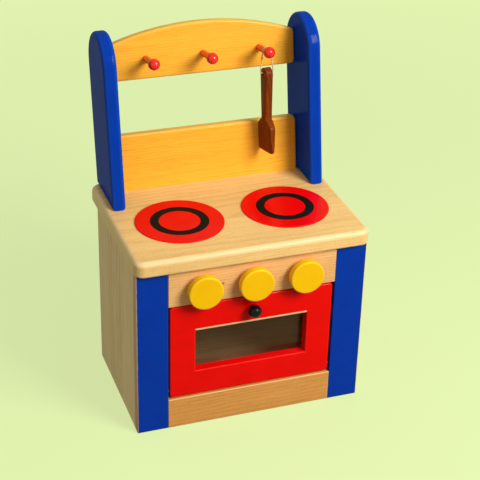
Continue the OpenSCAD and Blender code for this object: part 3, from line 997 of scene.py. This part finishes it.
@dataclass(frozen=True)
class Box:
    """A node's place in the frame."""

    low: Vector
    high: Vector

    @classmethod
    def of(cls, node: str) -> Box:
        """The box of a node at rest."""
        return cls(*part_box(node))

    @property
    def middle(self) -> Vector:
        """The box's middle."""
        return (self.low + self.high) / 2

    @property
    def foot(self) -> Vector:
        """The middle of the box's foot."""
        return Vector((self.middle.x, self.middle.y, self.low.z))

    @property
    def size(self) -> Vector:
        """The box's width, depth and height."""
        return self.high - self.low

    def outline(self, face: Face, corner: float = SHARP_R, steps: int = 3) -> Rectangle:
        """The outline of one of its faces, with rounded corners."""
        a, b = face.value
        return Rectangle(self.low[a], self.high[a], self.low[b], self.high[b], corner, steps)

    def corners(self, face: Face, inset: float) -> list[Point]:
        """The four corners of one of its faces, inset."""
        a, b = face.value
        ends = [(self.low[axis] + inset, self.high[axis] - inset) for axis in (a, b)]
        return [(first, second) for first in ends[0] for second in ends[1]]


def front_board(node: str, back_r: float, face_r: float) -> Shape:
    """A board in a node's box that faces the front.

    Args:
        node: the node whose place it takes.
        back_r: the radius of its back's edges.
        face_r: the radius of its face's edges.

    Returns:
        The board's shape, in place.
    """
    box = Box.of(node)
    board = Shape().board(box.outline(Face.FRONT), box.size.y, back_r, face_r)
    return board.placed(at(0, box.high.y, 0) @ TO_FRONT)


def coat(piece: bpy.types.Object, material: bpy.types.Material) -> None:
    """Gives a piece one finish all over."""
    piece.data.materials.clear()
    piece.data.materials.append(material)


@dataclass
class Part(ABC):
    """A sub-assembly of the cooker: the frame's nodes, and the body that its pieces ride on."""

    nodes: dict[str, bpy.types.Object]
    body: str = "cabinet"

    @property
    def steel(self) -> bpy.types.Material:
        """The frame's own plain steel, which the metal pieces keep."""
        return self.nodes["catch_plate"].data.materials[0]

    @abstractmethod
    def build(self) -> None:
        """Builds the part's pieces."""

    def settle(self, piece: bpy.types.Object, material: bpy.types.Material, slot: str,
               node: str) -> None:
        """Gives a piece its finish and its place in the frame.

        Args:
            piece: the piece, in place at rest.
            material: its finish.
            slot: the record's material slot; not used.
            node: the node that it stands for.
        """
        coat(piece, material)
        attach(piece, self.body)
        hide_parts(node)
        LOG.info("%s rides on %s with %d faces", piece.name, self.body, len(piece.data.polygons))

    def dress(self, material: bpy.types.Material, *nodes: str) -> None:
        """Gives nodes that keep their solid a better finish.

        Args:
            material: the finish.
            nodes: the nodes.
        """
        for name in nodes:
            coat(self.nodes[name], material)
            LOG.info("%s keeps its solid, with %s", name, material.name)


# ---- Pieces ----


@dataclass
class Worktop(Part):
    """The thick board with its two burners and their black rings."""

    corner_r: float = 10 * MM
    upper_r: float = 5 * MM
    lower_r: float = 2 * MM
    lip: float = 0.7 * MM
    groove: float = 0.12 * MM
    ring_width: float = 9 * MM
    ring_ease: float = 0.25 * MM
    flats: int = 128

    def build(self) -> None:
        """Builds the board, the burners and the rings."""
        box = Box.of("worktop")
        outline = box.outline(Face.TOP, self.corner_r, 12)
        board = Shape().board(outline, box.size.z, self.lower_r, self.upper_r)
        board = board.placed(at(0, 0, box.low.z)).build("worktop_board")
        self.settle(board, WORKTOP_BEECH.material(Grain.ACROSS, 1.0), "beech", "worktop")
        for side, cut in ((Side.LEFT, 3.0), (Side.RIGHT, 5.0)):
            self._burner(side, cut)
            self._ring(side, cut)

    def _burner(self, side: Side, cut: float) -> None:
        """Builds one burner's disc, with a shallow groove for its ring.

        Args:
            side: which of the two it is.
            cut: where in the log it was cut.
        """
        disc = Box.of(side.of("burner"))
        r, high = disc.size.x / 2, disc.size.z
        outer, low = Box.of(side.of("burner_ring")).size.x / 2, high - self.groove
        profile = filleted([
            (0, 0, 0), (r, 0, SHARP_R), (r, high, self.lip),
            (outer, high, 0.15 * MM), (outer - 0.1 * MM, low, AXIS_R), (0, low, 0),
        ], 5)
        plate = Shape().turned(profile, self.flats).placed(at(*disc.foot))
        plate = plate.build(side.of("burner_disc"))
        self.settle(plate, RED.material(Grain.ACROSS, cut), "red_paint", side.of("burner"))

    def _ring(self, side: Side, cut: float) -> None:
        """Builds the black ring that lies in one burner.

        Args:
            side: which of the two it is.
            cut: where in the log it was cut.
        """
        box = Box.of(side.of("burner_ring"))
        outer, high, ease = box.size.x / 2, box.size.z, self.ring_ease
        inner = outer - self.ring_width
        section = ((inner, 0), (outer, 0), (outer, high - ease),
                   (outer - ease, high), (inner + ease, high), (inner, high - ease))
        angles = full_turn(self.flats)
        band = Shape().rings([(around(r, z, angles), 0.0) for r, z in section], closed=True)
        band = band.placed(at(*box.foot)).build(side.of("burner_band"))
        black = MATT_BLACK.material(Grain.ACROSS, cut)
        self.settle(band, black, "black_paint", side.of("burner_ring"))


@dataclass
class Carcass(Part):
    """The boards of the oven's body."""

    ease: float = 1 * MM

    def build(self) -> None:
        """Builds the boards that show and dresses the rest."""
        for side, cut in ((Side.LEFT, 7.0), (Side.RIGHT, 8.0)):
            self._side_panel(side, cut)
            stile = front_board(side.of("stile"), SHARP_R, self.ease).build(side.of("stile_board"))
            blue = BLUE_STILE.material(Grain.UPRIGHT, cut)
            self.settle(stile, blue, "blue_paint", side.of("stile"))
        kick = front_board("kickboard", SHARP_R, self.ease).build("kick_board")
        self.settle(kick, KICK_BEECH.material(Grain.ACROSS, 10.0), "beech", "kickboard")
        self.dress(PANEL_BEECH.material(Grain.ACROSS, 11.0), "control_panel")
        self.dress(Plywood("ply", PLY_FACE).material(12.0), "back_panel")
        self.dress(BEECH.material(Grain.ACROSS, 13.0), "floor_board")
        self.dress(BEECH.material(Grain.ACROSS, 14.0), "door_stop", "rail_dowels",
                   "splashback_dowels", "floor_dowels")
        self.dress(BEECH.material(Grain.UPRIGHT, 15.0), "worktop_dowels")

    def _side_panel(self, side: Side, cut: float) -> None:
        """Builds one side panel.

        Args:
            side: which of the two it is.
            cut: where in the log it was cut.
        """
        box = Box.of(side.of("side_panel"))
        board = Shape().board(box.outline(Face.END), box.size.x, self.ease, self.ease)
        board = board.placed(at(box.low.x, 0, 0) @ TO_RIGHT).build(side.of("side_board"))
        self.settle(board, SIDE_BEECH.material(Grain.UPRIGHT, cut), "beech", side.of("side_panel"))


@dataclass
class Door(Part):
    """The drop-down door with its window, pane, bead, pull and screws."""

    body: str = "door"
    face_r: float = 2 * MM
    back_r: float = 1 * MM
    corner_r: float = 4 * MM
    window_w: float = 117 * MM
    window_h: float = 49 * MM
    window_r: float = 0.9 * MM
    window_corner: float = 0.6 * MM
    pane_t: float = 2 * MM
    ledge: float = 5 * MM
    rebate_ease: float = 0.2 * MM
    ledge_ease: float = 0.25 * MM
    bead_r: float = 0.2 * MM
    pull_neck: float = 0.55
    pull_screw: ScrewHead = ScrewHead(3 * MM, 0.15 * MM)
    pane_screw: ScrewHead = ScrewHead(2.5 * MM, 1.5 * MM)
    plate_t: float = 1.15 * MM

    def build(self) -> None:
        """Builds the door's pieces and dresses the rest."""
        self._panel()
        strip = front_board("window_bead", self.bead_r, SHARP_R).build("window_strip")
        self.settle(strip, BEECH.material(Grain.ACROSS, 22.0), "beech", "window_bead")
        self._pull()
        self._screws()
        self._catch()
        self.dress(ClearSheet().material(), "door_pane")

    def _panel(self) -> None:
        """Builds the red door as one skin that runs round the rim and through the window."""
        box = Box.of("door_panel")
        rim = box.outline(Face.FRONT, self.corner_r, 10)
        half_w, half_h, middle = self.window_w / 2, self.window_h / 2, box.middle.z
        window = Rectangle(-half_w, half_w, middle - half_h, middle + half_h,
                           self.window_corner, 10)
        front, back, r = box.low.y, box.high.y, self.window_r
        ledge_y = back - self.pane_t
        rows = [(front + depth, rim, inset, edge)
                for depth, inset, edge in Shape.rounding(box.size.y, self.face_r, self.back_r)]
        rows += [(y, window, inset, edge) for y, inset, edge in (
            (back, -self.ledge - Shape.HOLD, 0.0),
            (back, -self.ledge - self.rebate_ease, 1.0),
            (back - self.rebate_ease, -self.ledge, 1.0),
            (ledge_y, -self.ledge, 0.0),
            (ledge_y, -self.ledge_ease, 0.0),
            (ledge_y - self.ledge_ease, 0.0, 1.0),
            (ledge_y - Shape.HOLD, 0.0, 0.0),
            (front + r + Shape.HOLD, 0.0, 0.0),
        )]
        rows += [(front + depth, window, -inset, 1.0) for depth, inset, _ in rounded(r, 5)]
        rows.append((front, window, -r - Shape.HOLD, 0.0))
        skin = Shape().rings([
            ([Vector((x, y, z)) for x, z in outline(inset)], edge)
            for y, outline, inset, edge in rows
        ], closed=True)
        leaf = skin.build("door_leaf")
        self.settle(leaf, RED.material(Grain.ACROSS, 21.0), "red_paint", "door_panel")

    def _pull(self) -> None:
        """Builds the black ball that the door is opened by."""
        box = Box.of("door_knob")
        r = box.size.x / 2
        neck = r * self.pull_neck
        profile = [(AXIS_R, 0.0, 0.0), (neck, 0.0, 0.0)] + ball_profile(box.size.y - r, r, neck, 40)
        ball = Shape().turned(profile, 64).placed(at(0, box.high.y, box.middle.z) @ TO_FRONT)
        ball = ball.build("pull_ball")
        self.settle(ball, BLACK.material(Grain.UPRIGHT, 23.0), "black_paint", "door_knob")

    def _screws(self) -> None:
        """Builds the screws' heads on the door's back."""
        back = Box.of("door_panel").high.y
        spot = at(0, back, Box.of("door_knob_screw").middle.z) @ TO_BACK
        head = self.pull_screw.build("pull_screw", [spot])
        self.settle(head, self.steel, "steel", "door_knob_screw")
        corners = Box.of("pane_screws").corners(Face.FRONT, self.pane_screw.radius)
        spots = [at(x, back, z) @ TO_BACK for x, z in corners]
        heads = self.pane_screw.build("pane_screw_heads", spots)
        self.settle(heads, self.steel, "steel", "pane_screws")

    def _catch(self) -> None:
        """Builds the plate that the magnet holds."""
        plate, high = Box.of("catch_plate"), self.plate_t
        r = plate.size.x / 2
        profile = filleted([(0, 0, 0), (r, 0, 0.1 * MM), (r, high, 0.2 * MM), (0, high, 0)])
        disc = Shape().turned(profile, 48).placed(at(0, plate.low.y, plate.middle.z) @ TO_BACK)
        self.settle(disc.build("strike_plate"), self.steel, "steel", "catch_plate")


@dataclass
class ControlKnob(Part):
    """One of the yellow discs, with its wooden axle and collar."""

    side: Side = field(kw_only=True)
    cut: float = field(kw_only=True)
    edge_r: float = 1.6 * MM
    boss_r: float = 9 * MM
    boss_t: float = 3.6 * MM
    boss_ease: float = 0.4 * MM

    def __post_init__(self) -> None:
        """Names the body that the knob turns as."""
        self.body = self.side.name.lower() + "_knob"

    def build(self) -> None:
        """Builds the disc and dresses the axle and the collar."""
        node = self.side.of("knob")
        box = Box.of(node)
        r, high = box.size.x / 2, box.size.y
        profile = filleted([
            (0, 0, 0), (self.boss_r, 0, SHARP_R), (self.boss_r, self.boss_t, self.boss_ease),
            (r, self.boss_t, self.edge_r * 0.98), (r, high, self.edge_r), (0, high, 0),
        ], 8)
        place = at(box.middle.x, box.high.y, box.middle.z) @ TO_FRONT
        disc = Shape().turned(profile, 96).placed(place).build(self.side.of("knob_disc"))
        self.settle(disc, YELLOW.material(Grain.UPRIGHT, self.cut), "yellow_paint", node)
        inner = BEECH.material(Grain.DEEP, self.cut)
        self.dress(inner, self.side.of("knob_axle"), self.side.of("knob_collar"))


@dataclass
class BackUnit(Part):
    """The leaning posts, the peg rail, the splashback and the pegs.

    Its stand is the frame that leans with it, whose origin is under the middle of the posts' feet.
    """

    lean: float = math.radians(9.8)
    post_r: float = 33 * MM
    post_len: float = 169.5 * MM
    post_t: float = 14 * MM
    post_edge: float = 4 * MM
    board_w: float = 198 * MM
    board_y: float = 6 * MM
    board_t: float = 12 * MM
    board_corner: float = 5 * MM
    board_edge: float = 2.5 * MM
    splash_h: float = 60 * MM
    rail_low: float = 115.7 * MM
    rail_end: float = 36 * MM
    rail_mid: float = 53 * MM
    peg_pitch: float = 60 * MM
    peg_rise: float = 20.5 * MM
    peg_reach: float = 30 * MM
    peg_r: float = 3.5 * MM
    peg_sunk: float = 0.5 * MM
    ball_r: float = 6 * MM
    post_screw: ScrewHead = ScrewHead(3.75 * MM, 0.12 * MM)
    stand: Matrix = field(init=False)

    def __post_init__(self) -> None:
        """Finds the stand from the left post's own box, whose foot is on the worktop."""
        foot = Box.of("post_left").low.y + self.post_r / math.cos(self.lean)
        self.stand = at(0, foot, Box.of("worktop").high.z) @ Matrix.Rotation(-self.lean, 4, "X")

    def build(self) -> None:
        """Builds the back unit."""
        self._posts()
        rail = self._board(self._rail_outline).build("rail_board")
        self.settle(rail, AMBER.material(Grain.ACROSS, 43.0), "amber_paint", "peg_rail")
        self._splashback()
        self._pegs()
        self._screws()

    def _post_outline(self, inset: float) -> list[Point]:
        """A post's outline: a foot cut to the worktop and a round top.

        Args:
            inset: how far inside the post it runs.

        Returns:
            Its points, all round.
        """
        r, foot = self.post_r - inset, self.post_r * math.tan(self.lean)
        low, high = (-r, inset - foot), (r, inset + foot)
        return [low, high] + arc(0, self.post_len - self.post_r, r, 0, 180, 40)

    def _posts(self) -> None:
        """Builds both posts."""
        half = self.board_w / 2
        for side, x, cut in ((Side.LEFT, -half - self.post_t, 41.0), (Side.RIGHT, half, 42.0)):
            board = Shape().board(self._post_outline, self.post_t, self.post_edge, self.post_edge)
            board = board.placed(self.stand @ at(x, 0, 0) @ TO_RIGHT).build(side.of("post_board"))
            self.settle(board, BLUE.material(Grain.UPRIGHT, cut), "blue_paint", side.of("post"))

    def _rail_outline(self, inset: float) -> list[Point]:
        """The rail's outline: flat below and bowed above, with rounded corners.

        Args:
            inset: how far inside the rail it runs.

        Returns:
            Its points, all round.
        """
        half, r = self.board_w / 2 - self.board_corner, self.board_corner - inset
        bow = self.rail_mid - self.rail_end
        bow_r = (self.board_w**2 / 4 + bow**2) / (2 * bow)
        crown, reach = self.rail_low + self.rail_mid - bow_r, bow_r - self.board_corner
        low, high = self.rail_low + self.board_corner, crown + math.sqrt(reach**2 - half**2)
        swing = math.degrees(math.asin(half / reach))
        return (
            arc(-half, low, r, 180, 270, 8)
            + arc(half, low, r, 270, 360, 8)
            + arc(half, high, r, 0, 90 - swing, 8)
            + arc(0, crown, bow_r - inset, 90 - swing, 90 + swing, 48)[1:-1]
            + arc(-half, high, r, 90 + swing, 180, 8)
        )

    def _board(self, outline: Outline) -> Shape:
        """A board between the posts, in the plane of the rail and the splashback."""
        board = Shape().board(outline, self.board_t, self.board_edge, self.board_edge)
        return board.placed(self.stand @ (at(0, self.board_y + self.board_t, 0) @ TO_FRONT))

    def _splashback(self) -> None:
        """Builds the splashback, cut off level with the worktop."""
        half = self.board_w / 2
        shape = self._board(Rectangle(-half, half, -self.post_r, self.splash_h, self.board_corner))
        mesh, top = shape.mesh, (0, 0, Box.of("worktop").high.z)
        cut = bmesh.ops.bisect_plane(mesh, geom=[*mesh.verts, *mesh.edges, *mesh.faces],
                                     plane_co=top, plane_no=(0, 0, 1), clear_inner=True)
        rim = [edge for edge in cut["geom_cut"] if isinstance(edge, bmesh.types.BMEdge)]
        bmesh.ops.edgeloop_fill(mesh, edges=rim)
        board = shape.build("splash_board")
        self.settle(board, AMBER.material(Grain.ACROSS, 44.0), "amber_paint", "splashback")

    def _pegs(self) -> None:
        """Builds the three turned pegs."""
        stem = [(AXIS_R, -self.peg_sunk), (self.peg_r, -self.peg_sunk),
                (self.peg_r, self.peg_reach * 0.3)]
        ball = ball_profile(self.peg_reach, self.ball_r, self.peg_r, 36)
        profile = [(r, z, 0.0) for r, z in stem] + ball
        for side, cut in zip(Side, (45.0, 46.0, 47.0)):
            spot = at(side.value * self.peg_pitch, self.board_y, self.rail_low + self.peg_rise)
            peg = Shape().turned(profile, 48).placed(self.stand @ (spot @ TO_FRONT))
            peg = peg.build(side.of("turned_peg"))
            self.settle(peg, PEG_RED.material(Grain.DEEP, cut), "red_paint", side.of("peg"))

    def _screws(self) -> None:
        """Builds the heads of the screws that hold the posts, under the worktop."""
        box = Box.of("post_screws")
        corners = box.corners(Face.TOP, self.post_screw.radius)
        spots = [at(x, y, box.low.z) @ TO_FLOOR for x, y in corners]
        heads = self.post_screw.build("post_screw_heads", spots)
        self.settle(heads, self.steel, "steel", "post_screws")


@dataclass
class HungSpatula(Part):
    """The spatula that hangs from the right peg on a loop of string.

    Its hang is the frame whose origin is in the peg's axis and whose Z axis runs up the spatula.
    """

    back: BackUnit = field(kw_only=True)
    body: str = "hung_spatula"
    length: float = 90 * MM
    blade_len: float = 36 * MM
    blade_w: float = 27 * MM
    blade_corner: float = 3 * MM
    blade_gap: float = 1 * MM
    shoulder: float = 0.30
    thinning: float = 0.28
    thick: float = 8 * MM
    tip_t: float = 4 * MM
    end_r: float = 6.5 * MM
    neck_w: float = 9 * MM
    soft_r: float = 1.1 * MM
    twist: float = math.radians(80)
    hole_r: float = 1.7 * MM
    drop: float = 23.5 * MM
    string_r: float = 0.6 * MM
    string_lay: float = 2.6 * MM
    string_smooth: float = 80.0
    bend_r: float = 2.64 * MM
    ball_gap: float = 0.4 * MM
    peg_gap: float = 0.3 * MM
    handle_gap: float = 0.2 * MM
    hole_gap: float = 0.1 * MM
    knot_gap: float = 0.48 * MM
    knot_r: float = 0.62 * MM
    knot_tube: float = 0.52 * MM
    hang: Matrix = field(init=False)

    def __post_init__(self) -> None:
        """Finds the frame that hangs from the peg, where the string lies over it."""
        back = self.back
        string_off = back.peg_reach - (back.ball_r + self.string_r + self.ball_gap)
        reach = self.drop + self.length - self.end_r
        slope = math.asin((string_off - self.blade_w / 2 - self.blade_gap) / reach)
        tilt = max(0.0, back.lean - slope)
        spot = at(back.peg_pitch, back.board_y - string_off, back.rail_low + back.peg_rise)
        self.hang = back.stand @ spot @ Matrix.Rotation(back.lean - tilt, 4, "X")

    def build(self) -> None:
        """Builds the string with its knot, and then the spatula that it holds."""
        self._string()
        self._spatula()

    def _sections(self) -> list[Triple]:
        """The sections of the handle, the shoulder, the blade and its rounded tip.

        Returns:
            Height, half width and half thickness of each, from the handle's end down.
        """
        end, corner, thick, tip = self.end_r, self.blade_corner, self.thick / 2, self.tip_t / 2
        neck, wide, thin = self.neck_w / 2, self.blade_w / 2, thick * (1 - self.thinning)
        neck_z = -(self.length - end - self.blade_len)
        blade_z = neck_z - self.blade_len * self.shoulder
        tip_z = neck_z - self.blade_len
        rows = [(z, half, thick) for z, half in arc(0, 0, end, 0, 90, 10)[1:]]
        rows += [(neck_z * u, end + (neck - end) * u, thick) for u in shares(8)]
        rows += [(neck_z + (blade_z - neck_z) * u, neck + (wide - neck) * math.sin(u * math.pi / 2),
                  thick * (1 - self.thinning * u)) for u in shares(8)]
        straight = tip_z + corner - blade_z
        rows += [(blade_z + straight * u, wide, thin + (tip - thin) * u) for u in shares(6)]
        rows += [(tip_z + depth, wide - inset, tip * (1 - 0.35 * u * u))
                 for (depth, inset, _), u in zip(rounded(corner, 8)[1:-1], shares(8))]
        return rows + [(tip_z + 0.02 * MM, wide - corner, tip * 0.6)]

    def _spatula(self) -> None:
        """Builds the spatula by lofting rectangles down its length, and bores its handle."""
        rows = []
        for z, half, thin in self._sections():
            corner = min(self.soft_r, thin * 0.8, half * 0.8)
            outline = Rectangle(-half, half, -thin, thin, corner, 4)
            rows.append(([Vector((x, y, z)) for x, y in outline(0.0)], 0.0))
        place = self.hang @ at(0, 0, -self.drop) @ Matrix.Rotation(-self.twist, 4, "Z")
        spatula = Shape().rings(rows).placed(place).build("spatula_blade")
        r, high, ease = self.hole_r, self.thick, 0.1 * MM
        bore = filleted([(0, -high, 0), (r, -high, ease), (r, high, ease), (0, high, 0)])
        cutter = Shape().turned(bore, 40).placed(place @ TO_FRONT)
        cut_hole(spatula, cutter.build("string_hole"))
        self.settle(spatula, BROWN_WOOD.material(Grain.UPRIGHT, 51.0), "brown_wood", "spatula")

    def _route(self) -> tuple[list[Vector], Vector]:
        """The string's way down through the hole, round over the peg and back to its knot.

        Returns:
            The points of its middle line, and the knot's place.
        """
        top_r = self.back.peg_r + self.string_r + self.peg_gap
        low = -self.drop + self.hole_r - self.string_r - self.hole_gap
        half = self.thick / 2 + self.bend_r + self.handle_gap
        bend_z = low + self.bend_r
        right = [(0.0, low), (self.thick * 0.3, low)]
        right += arc(half - self.bend_r, bend_z, self.bend_r, -90, 0, 5)
        right += [(half + (top_r - half) * i / 6, bend_z - bend_z * i / 6) for i in range(1, 6)]
        right += arc(0, 0, top_r, 0, 90, 5)
        turns = [(-x, z) for x, z in reversed(right)] + right[1:]
        knot = 7
        loop = [Vector(turns[(i + knot) % (len(turns) - 1)]) for i in range(len(turns))]
        ends = [loop[0] + (near - loop[0]).normalized() * self.knot_gap
                for near in (loop[1], loop[-2])]
        line = [self.hang @ Vector((p.x, 0, p.y)) for p in (ends[0], *loop[1:-1], ends[1], loop[0])]
        return line[:-1], line[-1]

    def _string(self) -> None:
        """Builds the string and its knot."""
        route, knot_at = self._route()
        length = sum((b - a).length for a, b in zip(route, route[1:]))
        fine = self._smooth(route, 4)
        cotton = Cotton().material()
        string = self._strands(fine).build("cotton_loop", self.string_smooth)
        knot = self._knot(knot_at).build("cotton_knot", self.string_smooth)
        self.settle(string, cotton, "white_string", "string_loop")
        self.settle(knot, cotton, "white_string", "string_knot")
        LOG.info("the string is %.1f mm long", length / MM)

    @staticmethod
    def _smooth(route: Sequence[Vector], steps: int) -> list[Vector]:
        """A finer line through the same points.

        Args:
            route: the points.
            steps: how many steps each stretch between two points takes.

        Returns:
            The finer line's points.
        """
        fine: list[Vector] = []
        for i in range(len(route) - 1):
            p0, p1, p2 = route[max(i - 1, 0)], route[i], route[i + 1]
            p3 = route[min(i + 2, len(route) - 1)]
            for k in range(steps):
                t = k / steps
                fine.append(0.5 * (2 * p1 + (p2 - p0) * t + (2 * p0 - 5 * p1 + 4 * p2 - p3) * t**2
                                   + (3 * p1 - p0 - 3 * p2 + p3) * t**3))
        return fine + [route[-1]]

    def _strands(self, line: Sequence[Vector]) -> Shape:
        """Twists three strands along a line.

        Args:
            line: the string's middle line.

        Returns:
            Their common skin, which records 1 along their crests and 0 in their grooves.
        """
        across = self.hang.to_3x3() @ Vector((0, 1, 0))
        rows, travelled = [], 0.0
        for i, here in enumerate(line):
            before, after = line[max(i - 1, 0)], line[min(i + 1, len(line) - 1)]
            travelled += (here - line[i - 1]).length if i else 0.0
            side = (after - before).normalized().cross(across).normalized()
            turn = travelled / self.string_lay * TAU / 3
            ring, crests = [], []
            for a in full_turn(18):
                crests.append((0.5 + 0.5 * math.cos(3 * (a - turn))) ** 0.7)
                r = self.string_r * (0.80 + 0.20 * crests[-1])
                ring.append(here + r * (math.cos(a) * side + math.sin(a) * across))
            rows.append((ring, crests))
        return Shape().rings(rows)

    def _knot(self, middle: Vector) -> Shape:
        """Ties the knot as a small closed trefoil of the same string.

        Args:
            middle: the knot's place.

        Returns:
            Its shape, in place.
        """
        r, turn = self.knot_r * 0.55, self.hang.to_3x3()
        line = [
            Vector((r * (math.sin(t) + 1.3 * math.sin(2 * t)),
                    r * (math.cos(t) - 1.3 * math.cos(2 * t)),
                    -self.knot_r * 0.9 * math.sin(3 * t)))
            for t in full_turn(72)
        ]
        rows = []
        for i, here in enumerate(line):
            along = (line[(i + 1) % len(line)] - line[i - 1]).normalized()
            side = along.cross(Vector((0.3, 0.2, 1))).normalized()
            other = along.cross(side)
            ring = [math.cos(a) * side + math.sin(a) * other for a in full_turn(10)]
            rows.append(([middle + turn @ (here + self.knot_tube * spoke) for spoke in ring], 0.6))
        return Shape().rings(rows, closed=True)


# ---- Studio ----


@dataclass(frozen=True)
class Lamp:
    """A soft square lamp."""

    name: str
    spot: Triple
    width: float
    power: float
    colour: Triple

    def hang(self, aim: Vector) -> None:
        """Hangs the lamp.

        Args:
            aim: the point that it shines at.
        """
        data = bpy.data.lights.new(self.name, "AREA")
        data.size, data.energy, data.color = self.width, self.power, self.colour
        lamp = bpy.data.objects.new(self.name, data)
        lamp.location = self.spot
        lamp.rotation_euler = (aim - lamp.location).to_track_quat("-Z", "Y").to_euler()
        bpy.context.scene.collection.objects.link(lamp)


@dataclass
class Studio:
    """The pale floor, the soft lamps and the camera."""

    tone: str = "E4F5B2"
    bounce: str = "5E5A50"
    glow: float = 1.0
    evenness: float = 0.75
    ambient: float = 0.38
    sky: Colour = (0.95, 0.98, 1.0, 1.0)
    floor_half: float = 8.0
    lamps: tuple[Lamp, ...] = (
        Lamp("key_lamp", (0.80, -1.25, 1.23), 0.75, 34.5, (1.0, 0.98, 0.94)),
        Lamp("fill_lamp", (-1.5, -1.1, 0.9), 1.1, 2.5, (0.96, 0.98, 1.0)),
    )
    lit: Triple = (0, 0, 0.18)
    azimuth: float = math.radians(19.91)
    pitch: float = math.radians(28.94)
    roll: float = math.radians(1.56)
    aim: Triple = (-17.4 * MM, -95.97 * MM, 209.0 * MM)
    distance: float = 1287.8 * MM
    lens: float = 102.0

    def build(self) -> None:
        """Sets the stage round the cooker."""
        self._floor()
        self._backdrop()
        for lamp in self.lamps:
            lamp.hang(Vector(self.lit))
        self._camera()

    def _floor(self) -> None:
        """Lays one wide pale floor.

        Far off, the floor shows the tone by itself, so that no horizon is seen. It throws little
        of its light back, so that the sides away from the key lamp stay in shade.
        """
        graph = Graph.named("pale_floor")
        seen = graph.seen()
        diffuse = graph.node("BsdfDiffuse", None, {0: graph.mix(seen, self.bounce, self.tone)})
        glow = graph.node("Emission", None, {0: paint_colour(self.tone), 1: self.glow})
        away = graph.vector("LENGTH", graph.here(), output="Value")
        share = away.rise(0.35, 1.6) * (1 - self.evenness) + self.evenness
        shown = graph.node("MixShader", None, {0: share * seen, 1: diffuse, 2: glow})
        graph.node("OutputMaterial", None, {"Surface": shown})
        shape, half = Shape(), self.floor_half
        outline = Rectangle(-half, half, -half, half, 10 * MM)
        shape.mesh.faces.new(shape.ring([Vector((x, y, 0)) for x, y in outline(0)]))
        floor = shape.build("studio_floor")
        coat(floor, graph.owner)

    def _backdrop(self) -> None:
        """Gives the world the floor's tone where it is seen, and a soft light of its own."""
        world = bpy.data.worlds.new("studio")
        bpy.context.scene.world = world
        graph = Graph(world)
        light = graph.node("Background", None, {0: self.sky, 1: self.ambient})
        backdrop = graph.node("Background", None, {0: paint_colour(self.tone), 1: self.glow})
        shown = graph.node("MixShader", None, {0: graph.seen(), 1: light, 2: backdrop})
        graph.node("OutputWorld", None, {0: shown})

    def _camera(self) -> None:
        """Places the camera where the photograph was taken from."""
        a, e = self.azimuth, self.pitch
        back = Vector((-math.sin(a) * math.cos(e), -math.cos(a) * math.cos(e), math.sin(e)))
        right = Vector((math.cos(a), -math.sin(a), 0))
        up = back.cross(right)
        level = math.cos(self.roll) * right + math.sin(self.roll) * up
        tall = math.cos(self.roll) * up - math.sin(self.roll) * right
        data = bpy.data.cameras.new("camera")
        data.sensor_width, data.sensor_fit, data.lens = 36.0, "HORIZONTAL", self.lens
        data.clip_start = 50 * MM
        camera = bpy.data.objects.new("camera", data)
        turn = Matrix((level, tall, back)).transposed().to_4x4()
        camera.matrix_world = at(*(Vector(self.aim) + back * self.distance)) @ turn
        bpy.context.scene.collection.objects.link(camera)
        bpy.context.scene.camera = camera


def main() -> None:
    """Loads the frame and builds every part of the cooker round it."""
    logging.basicConfig(level=logging.INFO, format="%(message)s")
    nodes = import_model()["nodes"]
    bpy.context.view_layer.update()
    bpy.context.scene.view_settings.view_transform = "Standard"
    Studio().build()
    back = BackUnit(nodes)
    knobs = [ControlKnob(nodes, side=side, cut=cut) for side, cut in zip(Side, (31.0, 32.0, 33.0))]
    hung = HungSpatula(nodes, back=back)
    for part in (hung, back, *knobs, Door(nodes), Carcass(nodes), Worktop(nodes)):
        part.build()


if __name__ == "__main__":
    main()
